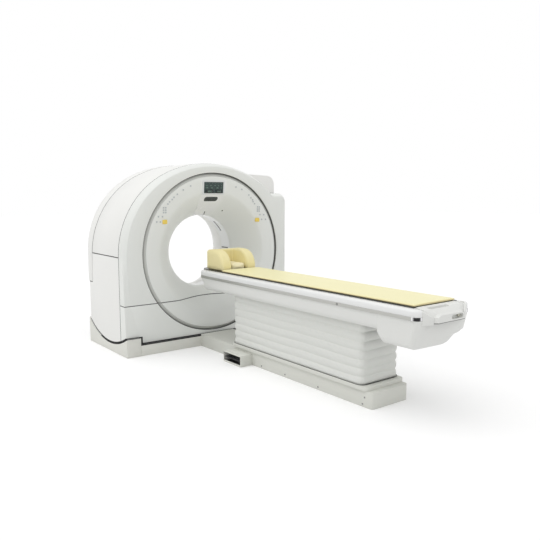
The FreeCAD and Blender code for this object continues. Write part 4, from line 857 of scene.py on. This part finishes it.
    def figures(self) -> None:
        """Rows of plain figures on the display, in green and on dark blocks."""
        marks: list[bpy.types.Object] = []
        rows = (
            (1.6415, 0.0120, ((-0.094, "1"), (-0.058, "2"), (-0.022, "3"), (0.014, "4"),
                              (0.050, "5"), (0.086, "6"))),
            (1.6190, 0.0150, ((-0.088, "000"), (-0.040, "120"), (0.010, "0.5"),
                              (0.050, "10"), (0.088, "25"))),
            (1.5960, 0.0190, ((-0.086, "944"), (-0.028, "0.0"), (0.036, "128"),
                              (0.086, "64"))),
        )
        for height, size, words in rows:
            for across, word in words:
                marks.append(self.word(word, across, height, size))
        for word, across, _ in self.large:
            marks.append(self.word(word, across, self.large_height, 0.0240, 0.0009))
        make_active(marks[0])
        for mark in marks:
            mark.select_set(True)
        bpy.ops.object.join()
        piece = bpy.context.active_object
        piece.name = "display_figures"
        self.shop.finish_piece(piece, "gantry", FIGURE_GREEN)
        for number, (_, across, width) in enumerate(self.large):
            self.block(number, across, width)

    def word(self, text: str, across: float, height: float, size: float,
             proud: float = 0.0003) -> bpy.types.Object:
        """One group of figures as a mesh on the display.

        Args:
            text: The figures.
            across: Middle of the group along X, in metres.
            height: Middle of the group along Z, in metres.
            size: Height of the type, in metres.
            proud: How far it stands off the display.

        Returns:
            The mesh object.
        """
        deselect()
        bpy.ops.object.text_add(rotation=(math.pi / 2, 0.0, 0.0),
                                location=(across, self.display_front - proud, height))
        mark = bpy.context.active_object
        mark.data.body = text
        mark.data.size = size
        mark.data.align_x = "CENTER"
        mark.data.align_y = "CENTER"
        mark.data.extrude = 0.0001
        make_active(mark)
        bpy.ops.object.convert(target="MESH")
        mark = bpy.context.active_object
        settle(mark)
        return mark

    def block(self, number: int, across: float, width: float) -> None:
        """Dark block behind a large group of figures.

        Args:
            number: Number of the block.
            across: Middle of the block along X, in metres.
            width: Its width, in metres.
        """
        deselect()
        bpy.ops.mesh.primitive_cube_add(size=1.0, location=(
            across, self.display_front - 0.0003, self.large_height))
        piece = bpy.context.active_object
        piece.name = f"display_block_{number}"
        piece.scale = (width, 0.0006, 0.030)
        settle(piece)
        bevel_edges(piece, 0.0002)
        self.shop.finish_piece(piece, "gantry", FIGURE_BLOCK)


# ---------------------------------------------------------------------- base

@dataclass
class Base:
    """What stands on the floor: plinth, stands and the table's pedestal.

    Attributes:
        shop: Makes and dresses the pieces.
        half_width: Half the skirt's width, in metres.
        head_end: The skirt's end at the gantry, along Y.
        foot_end: The skirt's other end, along Y.
        low: Foot of the skirt.
        high: Top of the skirt.
        depth: Depth of a pleat.
        corner: Radius of the skirt's corners.
        pleats: Number of pleats.
        foot_share: How deep the foot lies, as a share of the depth.
        pleat: A pleat's rows: how high, and how deep as a share of the depth.
        cloth: Thickness of the cloth.
        spare: How far the blend runs past both ends, as a share of the height; not used.
        gap_shade: The painted shade strip's way out and up from the foot, its height and
            thickness.
        strip_top: Height of the front plinth strip.
        strip_lap: How deep the seal on that strip reaches into it.
        strip_gap: How far that seal stands up.
        arc_lap: How deep the seals on the plinth's arcs reach into them.
        arc_top: Highest place of those seals.
        arc_rear: Where they end, along Y.
        cuts: How often a side and an end of the skirt are divided.
        wave: How far the cloth wanders up and down.
        ripple: How far it does so in short ripples, and in and out.
        sag: How far it hangs down, and is drawn in.
    """

    shop: Workshop
    half_width: float = 0.206
    head_end: float = -0.992
    foot_end: float = -2.640
    low: float = 0.150
    high: float = 0.617
    depth: float = 0.016
    corner: float = 0.046
    pleats: int = 7
    foot_share: float = 0.75
    pleat: tuple[tuple[float, float], ...] = (
        (0.16, 0.22), (0.48, 0.0), (0.84, 0.20), (1.0, 0.72))
    cloth: float = 0.0025
    spare: float = 0.1757
    gap_shade: tuple[float, float, float, float] = (0.0025, 0.0046, 0.0055, 0.0015)
    strip_top: float = 0.104
    strip_lap: float = 0.002
    strip_gap: float = 0.004
    arc_lap: float = 0.0045
    arc_top: float = 0.262
    arc_rear: float = 0.22
    cuts: tuple[int, int] = (23, 5)
    wave: float = 0.012
    ripple: tuple[float, float] = (0.003, 0.002)
    sag: tuple[float, float] = (0.004, 0.001)

    def build(self) -> None:
        """Dress every piece that stands on the floor."""
        for node, finish, bevel in (
            ("left_plinth", PLINTH_BEIGE, 0.003),
            ("right_plinth", PLINTH_BEIGE, 0.003),
            ("front_plinth_strip", PLINTH_BEIGE, 0.002),
            ("table_base", BASE_BEIGE, 0.003),
            ("bellows_rim", BASE_BEIGE, 0.003),
            ("pedal_box", BASE_BEIGE, 0.002),
            ("left_pedal", BLACK_PLASTIC, 0.002),
            ("right_pedal", BLACK_PLASTIC, 0.002),
            ("base_screws", SCREW_STEEL, 0.0008),
        ):
            self.shop.moulding(node, finish, bevel=bevel)
        for node, finish in {
            "floor_frame": STEEL_DARK,
            "left_stand": STEEL_GREY,
            "right_stand": STEEL_GREY,
            "tilt_bearings": BRIGHT_STEEL,
            "tilt_gearmotor": STEEL_DARK,
            "outer_columns": STEEL_GREY,
            "mid_columns": BRIGHT_STEEL,
            "inner_columns": BRIGHT_STEEL,
            "lift_motor": STEEL_DARK,
        }.items():
            self.shop.plain(node, finish)
        self.plinth_seals()
        self.bellows()
        self.bellows_shade_line()
        self.pedal_plates()

    def plinth_seals(self) -> None:
        """Dark seals on the plinth's upper edges, under the gantry's covers, painting the
        shade of the gap there.
        """
        self.shop.seal("front_plinth_strip", "strip_top_seal", facing(2, 1, self.strip_top),
                       self.strip_lap, self.strip_gap)
        for node in ("left_plinth", "right_plinth"):
            self.shop.seal(
                node, node.replace("plinth", "arc_seal"),
                lambda face: face.normal.z > 0.35 and face.center.z < self.arc_top
                and face.center.y < self.arc_rear,
                self.arc_lap, 0.0, grow=0.0003)

    def outline(self) -> bpy.types.Object:
        """Closed outline of the skirt, evenly divided along its sides.

        Returns:
            The outline as a loop of edges.
        """
        middle = (self.head_end + self.foot_end) / 2
        deselect()
        bpy.ops.mesh.primitive_plane_add(size=1.0, location=(0.0, middle, self.low))
        piece = bpy.context.active_object
        piece.name = "bellows_cloth"
        piece.scale = (2 * self.half_width, self.head_end - self.foot_end, 1.0)
        settle(piece)
        bpy.ops.object.mode_set(mode="EDIT")
        bpy.ops.mesh.select_all(action="SELECT")
        bpy.ops.mesh.bevel(offset=self.corner, segments=6, affect="VERTICES")
        bpy.ops.mesh.delete(type="ONLY_FACE")
        for axis, cuts in zip((1, 0), self.cuts):
            bpy.ops.object.mode_set(mode="OBJECT")
            corners = piece.data.vertices
            for edge in piece.data.edges:
                run = corners[edge.vertices[0]].co - corners[edge.vertices[1]].co
                edge.select = abs(run[axis]) > 0.2
            bpy.ops.object.mode_set(mode="EDIT")
            bpy.ops.mesh.select_mode(type="EDGE")
            bpy.ops.mesh.subdivide(number_cuts=cuts)
            bpy.ops.mesh.select_all(action="DESELECT")
        bpy.ops.object.mode_set(mode="OBJECT")
        return piece

    def bellows(self) -> None:
        """Pleated cloth skirt round the lifting columns."""
        piece = self.outline()
        middle = Vector((0.0, (self.head_end + self.foot_end) / 2, 0.0))
        half_length = (self.head_end - self.foot_end) / 2
        pitch = (self.high - self.low) / self.pleats
        levels = [(self.low, self.foot_share)]
        for index in range(self.pleats):
            start = self.low + pitch * index
            levels += [(start + pitch * part, share) for part, share in self.pleat]
        make_active(piece)
        bpy.ops.object.mode_set(mode="EDIT")
        bpy.ops.mesh.select_all(action="SELECT")
        now_high, now_inset = levels[0][0], 0.0
        for height, share in levels:
            inset = share * self.depth
            if height > self.low:
                bpy.ops.mesh.extrude_edges_move(TRANSFORM_OT_translate={
                    "value": (0.0, 0.0, height - now_high)})
            bpy.ops.transform.resize(
                value=((self.half_width - inset) / (self.half_width - now_inset),
                       (half_length - inset) / (half_length - now_inset), 1.0),
                center_override=(middle.x, middle.y, height))
            now_high, now_inset = height, inset
        bpy.ops.mesh.select_all(action="SELECT")
        bpy.ops.mesh.normals_make_consistent(inside=False)
        bpy.ops.object.mode_set(mode="OBJECT")
        rounder = piece.modifiers.new("soft", "SUBSURF")
        rounder.levels = rounder.render_levels = 2
        apply_modifiers(piece)
        self.slacken(piece)
        face_outward(piece)
        wall = piece.modifiers.new("cloth", "SOLIDIFY")
        wall.thickness = self.cloth
        wall.offset = -1.0
        apply_modifiers(piece)
        make_active(piece)
        bpy.ops.object.shade_smooth()
        dress(piece, self.shop.material(BELLOWS_BEIGE))
        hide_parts("bellows")
        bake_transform(piece)
        log.info("%s: %d faces", piece.name, len(piece.data.polygons))

    def bellows_shade_line(self) -> None:
        """Dark strip on the rim round the foot of the skirt: painted shade of the gap under
        the cloth.
        """
        piece = self.outline()
        piece.name = "bellows_gap_shade"
        out, up, tall, thick = self.gap_shade
        middle = (self.head_end + self.foot_end) / 2
        half_length = (self.head_end - self.foot_end) / 2
        make_active(piece)
        bpy.ops.object.mode_set(mode="EDIT")
        bpy.ops.mesh.select_all(action="SELECT")
        bpy.ops.transform.resize(value=((self.half_width + out) / self.half_width,
                                        (half_length + out) / half_length, 1.0),
                                 center_override=(0.0, middle, self.low))
        bpy.ops.transform.translate(value=(0.0, 0.0, up))
        bpy.ops.mesh.extrude_edges_move(TRANSFORM_OT_translate={"value": (0.0, 0.0, tall)})
        bpy.ops.mesh.select_all(action="SELECT")
        bpy.ops.mesh.normals_make_consistent(inside=False)
        bpy.ops.object.mode_set(mode="OBJECT")
        wall = piece.modifiers.new("gap_shade", "SOLIDIFY")
        wall.thickness = thick
        wall.offset = 0.0
        apply_modifiers(piece)
        face_outward(piece)
        self.shop.finish_piece(piece, "base", DARK_GREY_AND_SEAM_SHADE)

    def slacken(self, piece: bpy.types.Object) -> None:
        """Let the pleats sag and wander as cloth does.

        Args:
            piece: The pleated cloth, still without thickness.
        """
        for vertex in piece.data.vertices:
            share = (vertex.co.z - self.low) / (self.high - self.low)
            loose = math.sin(math.pi * min(1.0, max(0.0, share))) ** 0.5
            along = Vector((vertex.co.x * 2.0, vertex.co.y * 2.2, vertex.co.z * 3.0))
            wave = noise.noise(along)
            ripple = noise.noise(along * 4.0 + Vector((7.0, 3.0, 1.0)))
            vertex.co.z += loose * (self.wave * wave + self.ripple[0] * ripple - self.sag[0])
            outward = Vector((vertex.co.x, 0.0, 0.0))
            if outward.length > 0.0:
                outward.normalize()
            vertex.co += outward * loose * (self.ripple[1] * ripple - self.sag[1])
        piece.data.update()

    def pedal_plates(self) -> None:
        """Low lip along the front of the pedal box, and a dark mat on its floor."""
        low, high = (Vector(corner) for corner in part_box("pedal_box"))
        length, middle = high.y - low.y, (low.y + high.y) / 2
        self.plate("pedal_sill", (low.x + 0.006, middle, 0.008),
                   (0.012, length - 0.0125, 0.0156), (0.003, -0.003), 0.001, BASE_BEIGE)
        self.plate("pedal_mat", ((low.x + high.x) / 2 - 0.003, middle, 0.004),
                   (0.098, length - 0.0135, 0.006), (0.004, -0.002), 0.0008, BLACK_PLASTIC)

    def plate(self, name: str, place: tuple[float, float, float],
              size: tuple[float, float, float], sunk: tuple[float, float], edge: float,
              finish: Finish) -> None:
        """Flat plate with a sunk top and rounded edges.

        Args:
            name: Name of the plate.
            place: Its middle, in metres.
            size: Its size, in metres.
            sunk: Width of the rim round the sunk top, and its depth as a negative rise.
            edge: Width of the rounding on its edges.
            finish: Its finish.
        """
        deselect()
        bpy.ops.mesh.primitive_cube_add(size=1.0, location=place)
        piece = bpy.context.active_object
        piece.name = name
        piece.scale = size
        settle(piece)
        edit_faces(piece, lambda face: face.normal.z > 0.9)
        bpy.ops.mesh.inset(thickness=sunk[0], depth=sunk[1])
        bpy.ops.object.mode_set(mode="OBJECT")
        bevel_edges(piece, edge)
        self.shop.finish_piece(piece, "base", finish)


# --------------------------------------------------------------------- table

@dataclass
class Table:
    """The lifting table body and the sliding cradle with its pads.

    Attributes:
        shop: Makes and dresses the pieces.
        band_top: Top of the metal strip on a rail, in metres.
        catch: Middle of the catch on the left rail.
        catch_radius: Its radius.
        voxel: Size of the pads' remesh.
        handle_floor: Below this the handle's underside carries a strip of painted shade.
        handle_side: Beyond this, along X, its sides carry one.
    """

    shop: Workshop
    band_top: float = 0.7518
    catch: tuple[float, float, float] = (-0.2838, -2.458, 0.739)
    catch_radius: float = 0.0085
    voxel: float = 0.005
    handle_floor: float = 0.71
    handle_side: float = 0.151

    def build(self) -> None:
        """Dress the table and make its padded pieces."""
        for node, finish, bevel in (
            ("table_left_cover", COVER_CREAM, 0.002),
            ("table_right_cover", COVER_CREAM, 0.002),
            ("table_front_cover", COVER_CREAM, 0.006),
            ("table_foot_cover", COVER_CREAM, 0.005),
            ("foot_trims", TRIM_PAINTED_REFLECTION, 0.0008),
            ("cradle_top", CRADLE_DARK, 0.003),
            ("cradle_handle", COVER_CREAM, 0.004),
            ("release_knob", KNOB_CREAM, 0.002),
        ):
            self.shop.moulding(node, finish, bevel=bevel)
        for node in ("left_rail", "right_rail"):
            self.band(self.shop.moulding(node, RAIL_WHITE, bevel=0.002))
        self.shop.plain("table_frame", STEEL_GREY)
        self.shop.plain("cradle_guides", BRIGHT_STEEL)
        self.handle_shade()
        self.catch_ring()
        mattress = self.pad("mattress", MATTRESS_YELLOW, 0.003)
        self.edge(mattress)
        self.pad("headrest", HEADREST_CREAM, 0.003)
        self.pad("head_pad", PAD_GREY, 0.004)

    def band(self, rail: bpy.types.Object) -> None:
        """Give the lower strip of a rail its bare metal finish.

        Args:
            rail: The rail.
        """
        rail.data.materials.append(self.shop.material(RAIL_BAND))
        for face in rail.data.polygons:
            if face.center.z < self.band_top and face.normal.z > -0.9:
                face.material_index = 1

    def edge(self, mattress: bpy.types.Object) -> None:
        """Paint shade on the sides of the mattress with a darker, deeper copy of its colour.

        Args:
            mattress: The padded mattress.
        """
        mattress.data.materials.append(self.shop.material(MATTRESS_SIDE_SHADE))
        # Faces that turn away from the top take the painted shade.
        for face in mattress.data.polygons:
            if face.normal.z < 0.55:
                face.material_index = 1

    def handle_shade(self) -> None:
        """Dark strips round the cradle's foot handle that paint the shade of its seam."""
        self.shop.seal(
            "cradle_handle", "handle_seam_shade",
            lambda face: face.normal.z < -0.9 and face.center.z < self.handle_floor,
            0.004, 0.0, DARK_GREY_AND_SEAM_SHADE, 0.0004)
        self.shop.seal(
            "cradle_handle", "handle_side_shade",
            lambda face: abs(face.normal.x) > 0.35 and abs(face.normal.z) < 0.3
            and abs(face.center.x) > self.handle_side and face.normal.y > -0.3,
            0.003, 0.0, DARK_GREY_AND_SEAM_SHADE, 0.0004)

    def catch_ring(self) -> None:
        """Small ringed catch on the left rail."""
        deselect()
        bpy.ops.mesh.primitive_cylinder_add(
            vertices=24, radius=self.catch_radius, depth=0.004, location=self.catch,
            rotation=(0.0, math.pi / 2, 0.0))
        piece = bpy.context.active_object
        piece.name = "rail_catch"
        settle(piece)
        edit_faces(piece, lambda face: face.normal.x < -0.9)
        bpy.ops.mesh.inset(thickness=0.0028, depth=0.0)
        bpy.ops.mesh.extrude_region_move(TRANSFORM_OT_translate={"value": (0.0022, 0.0, 0.0)})
        bpy.ops.object.mode_set(mode="OBJECT")
        bevel_edges(piece, 0.0004)
        self.shop.finish_piece(piece, "table", DARK_GREY_AND_SEAM_SHADE)

    def pad(self, node: str, finish: Finish, cap: float) -> bpy.types.Object:
        """Padded piece, swelled from its packed form by a cloth run.

        Args:
            node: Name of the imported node.
            finish: Its cover.
            cap: Farthest that a point may move, in metres.

        Returns:
            The padded piece.
        """
        piece = self.shop.merged_copy(node, node + "_padded")
        make_active(piece)
        shrink = piece.modifiers.new("start", "DISPLACE")
        shrink.strength = -cap * 0.5
        shrink.mid_level = 0.0
        remesh = piece.modifiers.new("skin", "REMESH")
        remesh.mode = "VOXEL"
        remesh.voxel_size = self.voxel
        soften = piece.modifiers.new("soften", "SMOOTH")
        soften.iterations = 4
        soften.factor = 0.5
        apply_modifiers(piece)
        self.swell(piece, cap)
        bpy.ops.object.shade_smooth()
        self.shop.finish_piece(piece, self.shop.body(node), finish)
        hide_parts(node)
        return piece

    def swell(self, piece: bpy.types.Object, cap: float) -> None:
        """Run cloth with inner pressure and limit how far it moves.

        Args:
            piece: The remeshed pad.
            cap: Farthest that a point may move, in metres.
        """
        scene = bpy.context.scene
        start = [vertex.co.copy() for vertex in piece.data.vertices]
        cloth = piece.modifiers.new("cloth", "CLOTH")
        cloth.settings.use_pressure = True
        cloth.settings.uniform_pressure_force = 4.0
        cloth.settings.effector_weights.gravity = 0.0
        for number in range(1, 21):
            scene.frame_set(number)
        apply_modifiers(piece)
        scene.frame_set(1)
        for vertex, origin in zip(piece.data.vertices, start):
            move = vertex.co - origin
            if move.length > cap:
                vertex.co = origin + move.normalized() * cap
        piece.data.update()


# -------------------------------------------------------------------- studio

@dataclass
class Studio:
    """Pale floor, soft light and the photograph's camera.

    Attributes:
        lens: Focal length, in millimetres.
        place: Place of the camera, in metres.
        turn: Its turn about X, Y and Z, in degrees.
        sky: Strength of the white all round, as light.
        floor_glow: What the floor adds where it is looked at.
        floor_white: Colour of the floor.
        lamp_spread: Width of the lamps, in degrees.
        lamp_distance: How far off the lamps stand, in metres.
        lamps: Name, direction and strength of each lamp.
    """

    lens: float = 40.03
    place: tuple[float, float, float] = (-3.2933, -5.5625, 1.5254)
    turn: tuple[float, float, float] = (82.878, 0.0, -37.653)
    sky: float = 0.62
    floor_glow: float = 0.17
    floor_white: float = 0.86
    lamp_spread: float = 70.0
    lamp_distance: float = 8.0
    lamps: tuple[tuple[str, tuple[float, float, float], float], ...] = (
        ("key_light", (-0.43, 0.12, 0.90), 1.18),
        ("fill_light", (0.28, -0.75, 0.60), 0.32))

    def build(self) -> None:
        """Set up the whole studio."""
        self.camera()
        self.floor()
        self.world()
        for name, toward, power in self.lamps:
            self.lamp(name, toward, power)
        bpy.context.scene.view_settings.view_transform = "Standard"

    def camera(self) -> None:
        """Place the camera."""
        data = bpy.data.cameras.new("camera")
        data.lens = self.lens
        data.sensor_width = 36.0
        data.clip_end = 100.0
        camera = bpy.data.objects.new("camera", data)
        camera.location = self.place
        camera.rotation_euler = [math.radians(angle) for angle in self.turn]
        bpy.context.scene.collection.objects.link(camera)
        bpy.context.scene.camera = camera

    def lamp(self, name: str, toward: tuple[float, float, float], power: float) -> None:
        """Add a wide, soft lamp so far off that it lights evenly.

        Args:
            name: Name of the lamp.
            toward: Direction from the object to the lamp.
            power: Strength, in watts to the square metre.
        """
        data = bpy.data.lights.new(name, "SUN")
        data.angle = math.radians(self.lamp_spread)
        data.energy = power
        lamp = bpy.data.objects.new(name, data)
        lamp.location = Vector(toward) * self.lamp_distance
        lamp.rotation_euler = (-Vector(toward)).to_track_quat("-Z", "Y").to_euler()
        bpy.context.scene.collection.objects.link(lamp)

    def seen(self, tree: bpy.types.NodeTree) -> bpy.types.NodeSocket:
        """Share of rays that look at the studio itself.

        Args:
            tree: The node tree that asks.

        Returns:
            A socket that is 1 for camera, glossy and transmission rays.
        """
        rays = tree.nodes.new("ShaderNodeLightPath")
        total = rays.outputs["Is Camera Ray"]
        for name in ("Is Glossy Ray", "Is Transmission Ray"):
            either = tree.nodes.new("ShaderNodeMath")
            either.operation = "MAXIMUM"
            tree.links.new(total, either.inputs[0])
            tree.links.new(rays.outputs[name], either.inputs[1])
            total = either.outputs["Value"]
        return total

    def floor(self) -> None:
        """Lay a pale floor that keeps the shadow."""
        deselect()
        bpy.ops.mesh.primitive_plane_add(size=80.0, location=(0.0, 0.0, -0.0005))
        floor = bpy.context.active_object
        floor.name = "floor"
        material = bpy.data.materials.new("floor_white")
        material.use_nodes = True
        tree = material.node_tree
        shader = tree.nodes["Principled BSDF"]
        shader.inputs["Base Color"].default_value = (*[self.floor_white] * 3, 1.0)
        shader.inputs["Roughness"].default_value = 0.9
        shader.inputs["Specular IOR Level"].default_value = 0.0
        glow = tree.nodes.new("ShaderNodeEmission")
        scale = tree.nodes.new("ShaderNodeMath")
        scale.operation = "MULTIPLY"
        scale.inputs[1].default_value = self.floor_glow
        tree.links.new(self.seen(tree), scale.inputs[0])
        tree.links.new(scale.outputs["Value"], glow.inputs["Strength"])
        add = tree.nodes.new("ShaderNodeAddShader")
        tree.links.new(shader.outputs["BSDF"], add.inputs[0])
        tree.links.new(glow.outputs["Emission"], add.inputs[1])
        tree.links.new(add.outputs["Shader"], tree.nodes["Material Output"].inputs["Surface"])
        floor.data.materials.append(material)

    def world(self) -> None:
        """White all round, plainer as light than as seen."""
        world = bpy.data.worlds.new("studio")
        bpy.context.scene.world = world
        world.use_nodes = True
        tree = world.node_tree
        background = tree.nodes["Background"]
        background.inputs["Color"].default_value = (1.0, 1.0, 1.0, 1.0)
        strength = tree.nodes.new("ShaderNodeMix")
        strength.data_type = "FLOAT"
        strength.inputs["A"].default_value = self.sky
        strength.inputs["B"].default_value = 1.0
        tree.links.new(self.seen(tree), strength.inputs["Factor"])
        tree.links.new(strength.outputs["Result"], background.inputs["Strength"])


def corners(low_high: tuple[Vector, Vector]) -> list[list[float]]:
    """Write the two corners of a box as plain lists.

    Args:
        low_high: Lowest and highest corner.

    Returns:
        The same two corners.
    """
    return [list(corner) for corner in low_high]


def main() -> None:
    """Build the scene."""
    logging.basicConfig(level=logging.INFO, format="%(message)s")
    shop = Workshop(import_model())
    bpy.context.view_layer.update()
    Studio().build()
    Gantry(shop).build()
    Base(shop).build()
    Table(shop).build()
    deselect()


if __name__ == "__main__":
    main()
